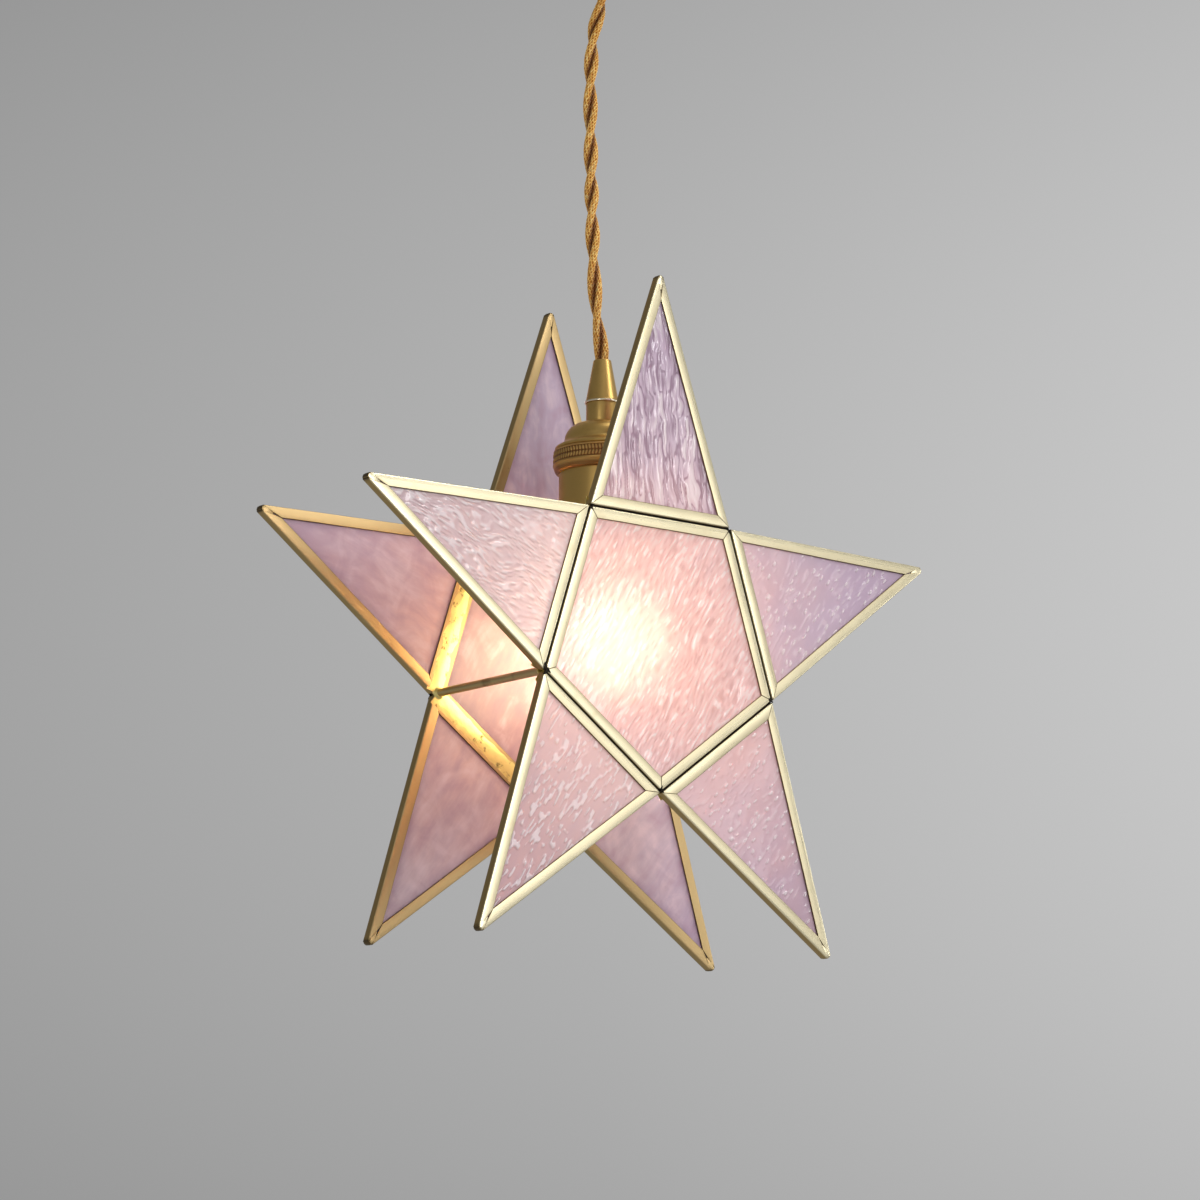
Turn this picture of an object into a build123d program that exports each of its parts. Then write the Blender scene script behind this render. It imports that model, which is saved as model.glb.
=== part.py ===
# Pendant lamp: two flat glass stars in brass channel, joined by rods and hung from a twisted textile cord.
# Millimetres, +Z up. The origin is on the ceiling, at the middle of the canopy. The front faces -Y.
import os
from math import acos, cos, pi, radians, sin, sqrt, tan

from build123d import *

os.makedirs("parts", exist_ok=True)

# Stars
TIP_NAMES = ["top", "upper_left", "lower_left", "lower_right", "upper_right"]
STAR_DROP = 336.0  # ceiling to the middle of the stars
TIP_RADIUS = 157.5  # middle of a star to the uncut point of a tip
NOTCH_RADIUS = 63.0  # middle of a star to the notch between two tips
TIP_CUT = 3.8  # length cut square off each tip
STAR_GAP = 70.8  # clear space between the two stars
CHANNEL_FACE = 4.6  # width of a channel's flanges
CHANNEL_WALL = 0.6
MITRE_GAP = 0.1  # hairline between two strips of a frame
FRAME_SLIT = 0.9  # between neighbouring frames
GLASS_THICKNESS = 2.5
GLASS_PLAY = 0.15  # between a pane and its channel
GLASS_NIP = 5.0  # how far a pane stops short of a cut tip
ROD_RADIUS = 1.7
ROD_INSET = 2.0  # from the notch towards the middle
SOLDER_RADIUS = 2.3

# Bridge between the two centre frames
BRIDGE_THICKNESS = 1.5
BRIDGE_WIDTH = 14.0
BRIDGE_DISC_RADIUS = 22.0

# Lampholder
THREAD_CLEARANCE = 0.05
SEAT_CLEARANCE = 0.3
SHELL_RADIUS = 18.2
SHELL_WALL = 0.9
SHELL_HEIGHT = 29.5  # from the bridge to the shell's rim
SHELL_THREAD_WALL = 1.2
SHELL_THREAD_PAST = 1.0  # thread that shows below the shade ring
SHADE_RING_WIDTH = 4.5
SHADE_RING_HEIGHT = 5.0
SHADE_RING_CHAMFER = 0.8
UNION_WALL = 2.55
UNION_HEIGHT = 9.9
UNION_LAP = 4.2  # how far the union ring reaches down over the shell
UNION_BEVEL = 1.4
CAP_OVERHANG = 1.8  # how far the cap's rim stands out from the shell
CAP_EDGE = 1.2  # height of the cap's rim above the union ring
CAP_HEIGHT = 12.1  # from the union ring to the crown
CAP_WALL = 1.0
CAP_SWELL = 1.5  # how far the dome stands out from a straight cone
CROWN_RADIUS = 9.2
NECK_RADIUS = 6.8
NECK_HEIGHT = 8.7
NIPPLE_RADIUS = 5.0
NIPPLE_WALL = 1.3
NIPPLE_IN_CONE = 7.0
NIPPLE_PAST_NUT = 1.0
NIPPLE_NUT_FLATS = 14.0
NIPPLE_NUT_HEIGHT = 4.0

# Cone that the cord enters
CONE_HEIGHT = 18.8
CONE_BASE_RADIUS = 6.9
CONE_MOUTH_RADIUS = 3.75
CONE_LIP_RADIUS = 7.3
CONE_LIP_HEIGHT = 1.2
CONE_CORD_DEPTH = 6.0  # how far the cord goes in
CONE_CORE_RADIUS = 2.2
CONE_CORD_CLEARANCE = 0.25

# Socket in the lampholder
INSERT_CROWN = 4.0  # thickness of the ceramic above the bulb
SCREW_SHELL_WALL = 0.75
SCREW_SHELL_CLEARANCE = 0.25  # round the bulb's thread
SCREW_SHELL_UP = 3.0  # from the shell's floor to the sleeve's lower edge
CONTACT_WIDTH = 6.0
CONTACT_THICKNESS = 0.6
CONTACT_REACH = 8.0
CONTACT_RISE = 2.5  # from the bulb's tip to the ceramic
TERMINAL_SIZE = (5.6, 6.0, 5.0)
TERMINAL_OFFSET = 10.2  # from the axis to the middle of a terminal
TERMINAL_SCREW_RADIUS = 1.4
TERMINAL_SCREW_HEIGHT = 1.6
SOCKET_LEAD_RADIUS = 1.0
SOCKET_LEAD_SPREAD = 1.6  # from the axis, under the nipple
SOCKET_LEAD_BEND = 1.8
SOCKET_LEAD_STUB = 1.2

# Bulb: 27 mm screw base and a pear-shaped envelope
BULB_SEAT = 22.5  # from the bridge up to the bulb's tip
BULB_LENGTH = 95.0
BULB_RADIUS = 27.5
BULB_WALL = 1.0
BULB_NECK_RADIUS = 13.0
BULB_NECK_STRAIGHT = 1.0
BASE_RADIUS = 13.2  # over the thread's crests
BASE_THREAD_DEPTH = 0.9
BASE_WALL = 0.7
BASE_PITCH = 3.63
BASE_TURNS = 5
BASE_LENGTH = 24.0
BASE_CORE_RADIUS = 4.0
INSULATOR_RADIUS = 11.0
INSULATOR_HEIGHT = 2.0
TIP_CONTACT_RADIUS = 4.8
TIP_CONTACT_FLAT = 3.4
TIP_CONTACT_HEIGHT = 1.4
STEM_RADIUS = 2.6
STEM_FOOT_HEIGHT = 2.0
STEM_FOOT_UP = 2.0  # from the base's lower edge
STEM_DISC_RADIUS = 8.4
STEM_DISC_THICKNESS = 1.2
STEM_END_SHORT = 14.0  # from the lower disc to the envelope's lowest point
FILAMENT_COUNT = 4
FILAMENT_RADIUS = 0.9
FILAMENT_CIRCLE = 6.6
FILAMENT_LENGTH = 30.0

# Cord
CORD_RADIUS = 2.95  # round the two twisted cores together
SWING_ANGLE = 20.0  # each way, front to back and side to side

# Cord grip in the canopy
GRIP_LENGTH = 20.0  # below the canopy
GRIP_RADIUS = 7.2
GRIP_FLANGE_RADIUS = 9.0
GRIP_FLANGE_HEIGHT = 3.0
GRIP_PIVOT_UP = 3.0  # from the mouth to the point that the cord swings about
GRIP_STEM_RADIUS = 5.0
GRIP_STEM_PAST = 4.5  # thread above the nut
GRIP_NUT_FLATS = 15.0
GRIP_NUT_HEIGHT = 3.5
GRIP_SCREW_RADIUS = 1.5
GRIP_SCREW_HEAD_RADIUS = 2.4
GRIP_SCREW_HEAD_HEIGHT = 2.0
GRIP_SCREW_UP = 12.5  # from the mouth
SWING_CLEARANCE = 0.35
BUSH_HALF_HEIGHT = 2.0
BUSH_CORD_CLEARANCE = 0.1

# Canopy and its bracket
CANOPY_RADIUS = 50.0
CANOPY_HEIGHT = 25.0
CANOPY_WALL = 1.0
CANOPY_CORNER = 8.0
CANOPY_HOLE_CLEARANCE = 0.15
BRACKET_END_GAP = 3.0  # from an ear's middle to the canopy's wall
BRACKET_WIDTH = 20.0
BRACKET_THICKNESS = 1.6
BRACKET_EAR = 14.0
SLOT_FROM_END = 8.0  # from the bar's end to the middle of a slot
SLOT_RADIUS = 2.25
SLOT_LENGTH = 10.0
MAINS_HOLE_RADIUS = 5.0
MAINS_HOLE_OFFSET = 18.0
CANOPY_SCREW_RADIUS = 2.0
CANOPY_SCREW_CLEARANCE = 0.1
CANOPY_SCREW_DROP = 8.0  # below the ceiling
CANOPY_SCREW_PAST = 3.0  # past the ear
CANOPY_SCREW_HEAD_RADIUS = 3.6
CANOPY_SCREW_HEAD_HEIGHT = 2.4

# Terminal block and leads in the canopy
BLOCK_SIZE = (22.0, 16.0, 11.0)
BLOCK_OFFSET = 19.0
BLOCK_SCREW_RADIUS = 2.0
BLOCK_SCREW_HEIGHT = 1.2
BLOCK_SCREW_FROM_END = 6.0
LEAD_RADIUS = 1.2
LEAD_SPREAD = 1.5  # from the axis to the middle of a lead
LEAD_BEND = 5.0
LEAD_IN_BLOCK = 4.0
LEAD_CLEARANCE = 0.1

# Heights worked out from the sizes above
tip_step = 360 / len(TIP_NAMES)
star_z = -STAR_DROP
channel_depth = GLASS_THICKNESS + 2 * (GLASS_PLAY + CHANNEL_WALL)
bridge_top = star_z + NOTCH_RADIUS * cos(radians(tip_step / 2)) - FRAME_SLIT / 2
bridge_under = bridge_top - BRIDGE_THICKNESS
shade_ring_under = bridge_under - SHADE_RING_HEIGHT
shell_floor = bridge_top + SHELL_WALL
shell_top = bridge_top + SHELL_HEIGHT
union_under = shell_top - UNION_LAP
union_top = union_under + UNION_HEIGHT
crown_top = union_top + CAP_HEIGHT
crown_under = crown_top - CAP_WALL
neck_top = crown_top + NECK_HEIGHT
nipple_top = neck_top + NIPPLE_IN_CONE
nipple_nut_under = crown_under - NIPPLE_NUT_HEIGHT
nipple_under = nipple_nut_under - NIPPLE_PAST_NUT
cone_mouth = neck_top + CONE_HEIGHT
cord_end = cone_mouth - CONE_CORD_DEPTH
bulb_tip_top = bridge_top + BULB_SEAT
bulb_tip_under = bulb_tip_top - TIP_CONTACT_HEIGHT
base_top = bulb_tip_under - INSULATOR_HEIGHT
base_under = base_top - BASE_LENGTH
bulb_under = bulb_tip_top - BULB_LENGTH
insert_ceiling = bulb_tip_top + CONTACT_RISE
insert_top = insert_ceiling + INSERT_CROWN
terminal_top = insert_top + TERMINAL_SIZE[2]
grip_top = -CANOPY_HEIGHT
grip_mouth = grip_top - GRIP_LENGTH
grip_pivot = grip_mouth + GRIP_PIVOT_UP
canopy_floor = grip_top + CANOPY_WALL
grip_nut_top = canopy_floor + GRIP_NUT_HEIGHT
grip_stem_top = grip_nut_top + GRIP_STEM_PAST
block_under = -BRACKET_THICKNESS - BLOCK_SIZE[2]
lead_height = -BRACKET_THICKNESS - BLOCK_SIZE[2] / 2

# Radii worked out from the sizes above
screw_shell_bore = BASE_RADIUS + SCREW_SHELL_CLEARANCE
screw_shell_radius = screw_shell_bore + SCREW_SHELL_WALL
insert_bore = screw_shell_radius + THREAD_CLEARANCE
shell_thread_radius = insert_bore + SHELL_THREAD_WALL
union_bore = SHELL_RADIUS + THREAD_CLEARANCE
union_radius = union_bore + UNION_WALL
cap_radius = SHELL_RADIUS + CAP_OVERHANG
nipple_hole = NIPPLE_RADIUS + THREAD_CLEARANCE
base_bore = BASE_RADIUS - BASE_THREAD_DEPTH - BASE_WALL
swing_both = acos(cos(radians(SWING_ANGLE)) ** 2)  # the two swings together
grip_chamber = CORD_RADIUS / cos(swing_both) + GRIP_PIVOT_UP * tan(swing_both) + SWING_CLEARANCE
bush_radius = grip_chamber - SEAT_CLEARANCE
grip_bore = LEAD_SPREAD + LEAD_RADIUS + SEAT_CLEARANCE
bracket_length = 2 * (CANOPY_RADIUS - CANOPY_WALL - BRACKET_END_GAP)

parts = {}


# Shapes used by several pieces

def turned(*points):
    # A closed outline of (radius, height) points, turned round the cord's axis
    return revolve(Plane.XZ * make_face(Polyline(*points, close=True)), Axis.Z)


def tube(inner, outer, low, high):
    return turned((inner, low), (outer, low), (outer, high), (inner, high))


def slab(corners, low, high):
    # An outline of (x, z) corners, filled from y = low to y = high
    plane = Plane(origin=(0, low, 0), x_dir=(1, 0, 0), z_dir=(0, -1, 0))
    return extrude(plane * make_face(Polyline(*corners, close=True)), amount=high - low, dir=(0, 1, 0))


def polar(radius, degrees):
    # A point of a star's face, in the shared (x, z) plane
    return (radius * cos(radians(degrees)), star_z + radius * sin(radians(degrees)))


def inset(corners, depths):
    # Moves each side of an outline inwards by its own depth, and meets the moved sides again
    sides = []
    for index, depth in enumerate(depths):
        start = Vector(corners[index])
        along = (Vector(corners[(index + 1) % len(corners)]) - start).normalized()
        sides.append((start + Vector(-along.Y, along.X) * depth, along))
    moved = []
    for index, (start, along) in enumerate(sides):
        other, lean = sides[index - 1]
        apart = start - other
        reach = (apart.X * along.Y - apart.Y * along.X) / (lean.X * along.Y - lean.Y * along.X)
        corner = other + lean * reach
        moved.append((corner.X, corner.Y))
    return moved


def even_inset(corners, depth):
    return inset(corners, [depth] * len(corners))


def hex_nut(flats, hole, low, high):
    outline = RegularPolygon(flats / 2, 6, major_radius=False) - Circle(hole)
    return extrude(Plane.XY.offset(low) * outline, amount=high - low)


def lead(radius, points, bends):
    path = FilletPolyline(*points, radius=bends)
    return sweep(Plane(path @ 0, z_dir=path % 0) * Circle(radius), path=path)


# Stars: each tip is a triangle and the middle is a pentagon, all in frames of mitred channel

def tip_angle(index):
    return 90 + index * tip_step


def notch(angle):
    return polar(NOTCH_RADIUS, angle)


def tip_outline(index):
    angle = tip_angle(index)
    corners = [notch(angle - tip_step / 2), polar(TIP_RADIUS, angle), notch(angle + tip_step / 2)]
    return inset(corners, [0, 0, FRAME_SLIT / 2])


def centre_outline():
    corners = [notch(tip_angle(index) + tip_step / 2) for index in range(len(TIP_NAMES))]
    return even_inset(corners, FRAME_SLIT / 2)


def tip_cutter(index, short, low, high):
    # A block beyond a square cut, short of the tip's point
    along = Vector(cos(radians(tip_angle(index))), sin(radians(tip_angle(index))))
    across = Vector(-along.Y, along.X)
    middle = Vector(0, star_z)
    corners = []
    for out, side in ((-1, -1), (-1, 1), (1, 1), (1, -1)):
        corner = middle + along * (TIP_RADIUS + out * short) + across * (side * short)
        corners.append((corner.X, corner.Y))
    return slab(corners, low, high)


def groove(start, end, low, high):
    # The room for the glass in one strip, past its mitred ends and its open side
    along = (Vector(end) - Vector(start)).normalized()
    inwards = Vector(-along.Y, along.X)
    corners = []
    past = CHANNEL_FACE + CHANNEL_WALL
    for corner, depth in ((start, CHANNEL_WALL), (end, CHANNEL_WALL), (end, past), (start, past)):
        moved = Vector(corner) + inwards * depth
        corners.append((moved.X, moved.Y))
    return slab(corners, low + CHANNEL_WALL, high - CHANNEL_WALL)


def channel_frame(outline, low):
    # One mitred strip of channel to each side of the outline
    inner = even_inset(outline, CHANNEL_FACE)
    high = low + channel_depth
    strips = []
    for index, start in enumerate(outline):
        after = (index + 1) % len(outline)
        corners = [start, outline[after], inner[after], inner[index]]
        bar = slab(inset(corners, [0, MITRE_GAP / 2, 0, MITRE_GAP / 2]), low, high)
        strips.append(bar - groove(start, outline[after], low, high))
    return strips


def pane(outline, low):
    glass_low = low + CHANNEL_WALL + GLASS_PLAY
    return slab(even_inset(outline, CHANNEL_WALL + GLASS_PLAY), glass_low, glass_low + GLASS_THICKNESS)


def solder_joint(index, low):
    # Fills the slits where the centre frame and two tips meet at a notch
    across, height = notch(tip_angle(index) + tip_step / 2)
    high = low + channel_depth
    blob = Pos(across, (low + high) / 2, height) * Rot(90, 0, 0) * Cylinder(SOLDER_RADIUS, channel_depth)
    following = (index + 1) % len(TIP_NAMES)
    for outline in (centre_outline(), tip_outline(index), tip_outline(following)):
        blob -= slab(outline, low - channel_depth, high + channel_depth)
    return blob


for face, low in (("front", -STAR_GAP / 2 - channel_depth), ("back", STAR_GAP / 2)):
    beyond = low + channel_depth
    for index, name in enumerate(TIP_NAMES):
        cut = tip_cutter(index, TIP_CUT, low - channel_depth, beyond + channel_depth)
        glass_cut = tip_cutter(index, TIP_CUT + GLASS_NIP, low - channel_depth, beyond + channel_depth)
        parts[f"{face}_frame_{name}"] = [strip - cut for strip in channel_frame(tip_outline(index), low)]
        parts[f"{face}_glass_{name}"] = [pane(tip_outline(index), low) - glass_cut]
    parts[f"{face}_frame_centre"] = channel_frame(centre_outline(), low)
    parts[f"{face}_glass_centre"] = [pane(centre_outline(), low)]
    parts[f"{face}_solder"] = [solder_joint(index, low) for index in range(len(TIP_NAMES))]

parts["cross_rods"] = []
for index in range(len(TIP_NAMES)):
    across, height = polar(NOTCH_RADIUS - ROD_INSET, tip_angle(index) + tip_step / 2)
    parts["cross_rods"].append(Pos(across, 0, height) * Rot(90, 0, 0) * Cylinder(ROD_RADIUS, STAR_GAP))


# Bridge: a strap with a round middle, and a tab folded down on each centre frame

def bridge():
    tab_height = CHANNEL_FACE
    plate = Rectangle(BRIDGE_WIDTH, STAR_GAP) + Circle(BRIDGE_DISC_RADIUS)
    plate -= Circle(shell_thread_radius + SEAT_CLEARANCE)
    strap = extrude(Plane.XY.offset(bridge_under) * plate, amount=BRIDGE_THICKNESS)
    for side in (-1, 1):
        middle = side * (STAR_GAP - BRIDGE_THICKNESS) / 2
        strap += Pos(0, middle, bridge_top - tab_height / 2) * Box(BRIDGE_WIDTH, BRIDGE_THICKNESS, tab_height)
    return strap


parts["bridge"] = [bridge()]


# Lampholder, from the shade ring up

def shade_ring():
    inner = shell_thread_radius + THREAD_CLEARANCE
    outer = inner + SHADE_RING_WIDTH
    bevel = SHADE_RING_CHAMFER
    return turned((inner, shade_ring_under), (outer - bevel, shade_ring_under),
                  (outer, shade_ring_under + bevel), (outer, bridge_under), (inner, bridge_under))


def holder_shell():
    inside = SHELL_RADIUS - SHELL_WALL
    thread_under = shade_ring_under - SHELL_THREAD_PAST
    return turned((SHELL_RADIUS, bridge_top), (SHELL_RADIUS, shell_top), (inside, shell_top),
                  (inside, shell_floor), (insert_bore, shell_floor), (insert_bore, thread_under),
                  (shell_thread_radius, thread_under), (shell_thread_radius, bridge_top))


def union_ring():
    return turned((union_bore, union_under), (union_radius - UNION_BEVEL, union_under),
                  (union_radius, union_under + UNION_BEVEL), (union_radius, union_top - UNION_BEVEL),
                  (cap_radius, union_top), (union_bore, union_top))


def holder_cap():
    # A dome on the union ring, with a skirt inside the ring that stands on the shell's rim
    skirt = SHELL_RADIUS - SHELL_WALL
    edge = union_top + CAP_EDGE
    outer = (cap_radius, edge)
    crown = (CROWN_RADIUS, crown_top)
    inner = (cap_radius - CAP_WALL, edge - CAP_WALL)
    inner_crown = (CROWN_RADIUS, crown_under)
    lines = [
        Polyline((nipple_hole, crown_under), (nipple_hole, crown_top), crown),
        SagittaArc(crown, outer, -CAP_SWELL),
        Polyline(outer, (cap_radius, union_top), (SHELL_RADIUS, union_top), (SHELL_RADIUS, shell_top),
                 (skirt, shell_top), (skirt, edge - CAP_WALL), inner),
        SagittaArc(inner, inner_crown, CAP_SWELL),
        Line(inner_crown, (nipple_hole, crown_under)),
    ]
    return revolve(Plane.XZ * make_face(lines), Axis.Z)


parts["shade_ring"] = [shade_ring()]
parts["holder_shell"] = [holder_shell()]
parts["union_ring"] = [union_ring()]
parts["holder_cap"] = [holder_cap()]
parts["holder_neck"] = [tube(nipple_hole, NECK_RADIUS, crown_top, neck_top)]
parts["nipple"] = [tube(NIPPLE_RADIUS - NIPPLE_WALL, NIPPLE_RADIUS, nipple_under, nipple_top)]
parts["nipple_nut"] = [hex_nut(NIPPLE_NUT_FLATS, nipple_hole, nipple_nut_under, crown_under)]


# Cone, screwed on the nipple, with a ledge for the cord's end

def cord_cone():
    mouth_bore = CORD_RADIUS + CONE_CORD_CLEARANCE
    lip_top = neck_top + CONE_LIP_HEIGHT
    return turned((nipple_hole, neck_top), (CONE_LIP_RADIUS, neck_top), (CONE_LIP_RADIUS, lip_top),
                  (CONE_BASE_RADIUS, lip_top), (CONE_MOUTH_RADIUS, cone_mouth), (mouth_bore, cone_mouth),
                  (mouth_bore, cord_end), (CONE_CORE_RADIUS, cord_end), (CONE_CORE_RADIUS, nipple_top),
                  (nipple_hole, nipple_top))


parts["cord_cone"] = [cord_cone()]


# Socket: ceramic insert, threaded sleeve, sprung contact and terminals

def socket_insert():
    outer = SHELL_RADIUS - SHELL_WALL - SEAT_CLEARANCE
    return turned((insert_bore, shell_floor), (outer, shell_floor), (outer, insert_top),
                  (0, insert_top), (0, insert_ceiling), (insert_bore, insert_ceiling))


def centre_contact():
    # A tongue on the bulb's tip, folded up to the ceramic
    reach = CONTACT_REACH
    thick = CONTACT_THICKNESS
    tongue_top = bulb_tip_top + thick
    outline = [(-reach, bulb_tip_top), (reach / 2, bulb_tip_top), (reach / 2, tongue_top),
               (thick - reach, tongue_top), (thick - reach, insert_ceiling), (-reach, insert_ceiling)]
    return slab(outline, -CONTACT_WIDTH / 2, CONTACT_WIDTH / 2)


parts["socket_insert"] = [socket_insert()]
screw_shell_under = shell_floor + SCREW_SHELL_UP
parts["screw_shell"] = [tube(screw_shell_bore, screw_shell_radius, screw_shell_under, insert_ceiling)]
parts["centre_contact"] = [centre_contact()]
parts["socket_terminals"] = []
parts["socket_screws"] = []
parts["socket_leads"] = []
lead_start = nipple_under - SEAT_CLEARANCE
lead_in = TERMINAL_OFFSET - TERMINAL_SCREW_RADIUS
screw_out = TERMINAL_OFFSET + TERMINAL_SCREW_RADIUS
for side in (-1, 1):
    middle = insert_top + TERMINAL_SIZE[2] / 2
    parts["socket_terminals"].append(Pos(side * TERMINAL_OFFSET, 0, middle) * Box(*TERMINAL_SIZE))
    head = Cylinder(TERMINAL_SCREW_RADIUS, TERMINAL_SCREW_HEIGHT)
    parts["socket_screws"].append(Pos(side * screw_out, 0, terminal_top + TERMINAL_SCREW_HEIGHT / 2) * head)
    route = [(side * SOCKET_LEAD_SPREAD, 0, lead_start),
             (side * SOCKET_LEAD_SPREAD, 0, lead_start - SOCKET_LEAD_STUB),
             (side * lead_in, 0, terminal_top + SOCKET_LEAD_STUB),
             (side * lead_in, 0, terminal_top)]
    parts["socket_leads"].append(lead(SOCKET_LEAD_RADIUS, route, SOCKET_LEAD_BEND))


# Bulb

def bulb_cap():
    # Rings of the thread's pitch stand for its crests, from the plain top down
    root = BASE_RADIUS - BASE_THREAD_DEPTH
    ceiling = base_top - BASE_WALL
    thread_top = base_top - (BASE_LENGTH - BASE_TURNS * BASE_PITCH) / 2
    outline = [(BASE_CORE_RADIUS, ceiling), (BASE_CORE_RADIUS, base_top),
               (INSULATOR_RADIUS, base_top), (root, thread_top)]
    for turn in range(BASE_TURNS):
        top = thread_top - turn * BASE_PITCH
        outline += [(BASE_RADIUS, top - BASE_PITCH / 3), (BASE_RADIUS, top - 2 * BASE_PITCH / 3),
                    (root, top - BASE_PITCH)]
    outline += [(root, base_under), (base_bore, base_under), (base_bore, ceiling)]
    return turned(*outline)


def bulb_envelope():
    # A globe, and a waist arc that runs from the globe into the straight neck
    globe_z = bulb_under + BULB_RADIUS
    waist_z = base_under - BULB_NECK_STRAIGHT
    rise = waist_z - globe_z
    waist = (rise ** 2 + BULB_NECK_RADIUS ** 2 - BULB_RADIUS ** 2) / (2 * (BULB_RADIUS - BULB_NECK_RADIUS))
    span = BULB_RADIUS + waist
    lean = acos((BULB_NECK_RADIUS + waist) / span)

    def side(offset):
        # Neck, waist and globe of one wall, which lies inwards by the offset
        globe = BULB_RADIUS - offset
        arc = waist + offset
        neck = BULB_NECK_RADIUS - offset
        top = (neck, base_under)
        neck_low = (neck, waist_z)
        middle = (BULB_NECK_RADIUS + waist - arc * cos(lean / 2), waist_z - arc * sin(lean / 2))
        join = (globe * cos(lean), globe_z + globe * sin(lean))
        below = (lean - pi / 2) / 2
        bulge = (globe * cos(below), globe_z + globe * sin(below))
        foot = (0, globe_z - globe)
        wall = [Line(top, neck_low), ThreePointArc(neck_low, middle, join), ThreePointArc(join, bulge, foot)]
        return top, foot, wall

    outer_top, outer_foot, outer = side(0)
    inner_top, inner_foot, inner = side(BULB_WALL)
    lines = outer + inner + [Line(outer_top, inner_top), Line(outer_foot, inner_foot)]
    return revolve(Plane.XZ * make_face(lines), Axis.Z)


def bulb_stem():
    # Foot in the base, then a rod with two discs that hold the filaments
    foot_low = base_under + STEM_FOOT_UP
    foot_top = foot_low + STEM_FOOT_HEIGHT
    foot_radius = base_bore - SEAT_CLEARANCE
    lower = bulb_under + STEM_END_SHORT
    upper = lower + STEM_DISC_THICKNESS + FILAMENT_LENGTH
    return turned((0, lower), (STEM_DISC_RADIUS, lower), (STEM_DISC_RADIUS, lower + STEM_DISC_THICKNESS),
                  (STEM_RADIUS, lower + STEM_DISC_THICKNESS), (STEM_RADIUS, upper), (STEM_DISC_RADIUS, upper),
                  (STEM_DISC_RADIUS, upper + STEM_DISC_THICKNESS), (STEM_RADIUS, upper + STEM_DISC_THICKNESS),
                  (STEM_RADIUS, foot_low), (foot_radius, foot_low), (foot_radius, foot_top), (0, foot_top))


parts["bulb_tip"] = [turned((0, bulb_tip_under), (TIP_CONTACT_RADIUS, bulb_tip_under),
                            (TIP_CONTACT_FLAT, bulb_tip_top), (0, bulb_tip_top))]
parts["bulb_insulator"] = [turned((0, base_top), (INSULATOR_RADIUS, base_top),
                                  (TIP_CONTACT_RADIUS, bulb_tip_under), (0, bulb_tip_under))]
parts["bulb_cap"] = [bulb_cap()]
parts["bulb_envelope"] = [bulb_envelope()]
parts["bulb_stem"] = [bulb_stem()]
filament_middle = bulb_under + STEM_END_SHORT + STEM_DISC_THICKNESS + FILAMENT_LENGTH / 2
parts["bulb_filaments"] = []
for place in PolarLocations(FILAMENT_CIRCLE, FILAMENT_COUNT):
    filament = Cylinder(FILAMENT_RADIUS, FILAMENT_LENGTH)
    parts["bulb_filaments"].append(Pos(0, 0, filament_middle) * place * filament)


# Cord: pulled straight by the lamp's weight, with a round upper end at the point that it swings about

cord_length = grip_pivot - cord_end
cord_run = Pos(0, 0, cord_end + cord_length / 2) * Cylinder(CORD_RADIUS, cord_length)
parts["cord"] = [cord_run + Pos(0, 0, grip_pivot) * Sphere(CORD_RADIUS)]
print(f"cord: {grip_mouth - cone_mouth:.1f} mm free, {cord_length:.1f} mm from ledge to swing point")


# Cord grip: threaded stem through the canopy, a clamping screw and a bush round the cord

def cord_grip():
    chamber_top = grip_pivot + bush_radius + SEAT_CLEARANCE
    flange_under = grip_top - GRIP_FLANGE_HEIGHT
    body = turned((grip_bore, chamber_top), (grip_bore, grip_stem_top), (GRIP_STEM_RADIUS, grip_stem_top),
                  (GRIP_STEM_RADIUS, grip_top), (GRIP_FLANGE_RADIUS, grip_top),
                  (GRIP_FLANGE_RADIUS, flange_under), (GRIP_RADIUS, flange_under),
                  (GRIP_RADIUS, grip_mouth), (grip_chamber, grip_mouth), (grip_chamber, chamber_top))
    hole = Cylinder(GRIP_SCREW_RADIUS + THREAD_CLEARANCE, GRIP_RADIUS)
    return body - Pos(0, GRIP_RADIUS / 2 + LEAD_SPREAD, grip_mouth + GRIP_SCREW_UP) * Rot(90, 0, 0) * hole


def grip_screw():
    tip = LEAD_SPREAD + LEAD_RADIUS + THREAD_CLEARANCE
    shank_length = GRIP_RADIUS - tip
    shank = Pos(0, tip + shank_length / 2, 0) * Rot(90, 0, 0) * Cylinder(GRIP_SCREW_RADIUS, shank_length)
    head_middle = GRIP_RADIUS + GRIP_SCREW_HEAD_HEIGHT / 2
    head = Pos(0, head_middle, 0) * Rot(90, 0, 0) * Cylinder(GRIP_SCREW_HEAD_RADIUS, GRIP_SCREW_HEAD_HEIGHT)
    return Pos(0, 0, grip_mouth + GRIP_SCREW_UP) * (shank + head)


def grip_bush():
    # A ring cut from a ball, with a bore that flares downwards so that the cord can lean
    half = BUSH_HALF_HEIGHT
    lean = radians(SWING_ANGLE)
    waist = CORD_RADIUS / cos(lean) + BUSH_CORD_CLEARANCE
    mouth = waist + half * tan(lean)
    rim = sqrt(bush_radius ** 2 - half ** 2)
    low, middle, high = grip_pivot - half, grip_pivot, grip_pivot + half
    lines = [Polyline((rim, low), (mouth, low), (waist, middle), (waist, high), (rim, high)),
             ThreePointArc((rim, high), (bush_radius, middle), (rim, low))]
    return revolve(Plane.XZ * make_face(lines), Axis.Z)


parts["cord_grip"] = [cord_grip()]
parts["grip_screw"] = [grip_screw()]
parts["grip_bush"] = [grip_bush()]
parts["grip_nut"] = [hex_nut(GRIP_NUT_FLATS, GRIP_STEM_RADIUS + THREAD_CLEARANCE, canopy_floor, grip_nut_top)]


# Canopy: a cup, open to the ceiling, with a rounded lower edge

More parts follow.
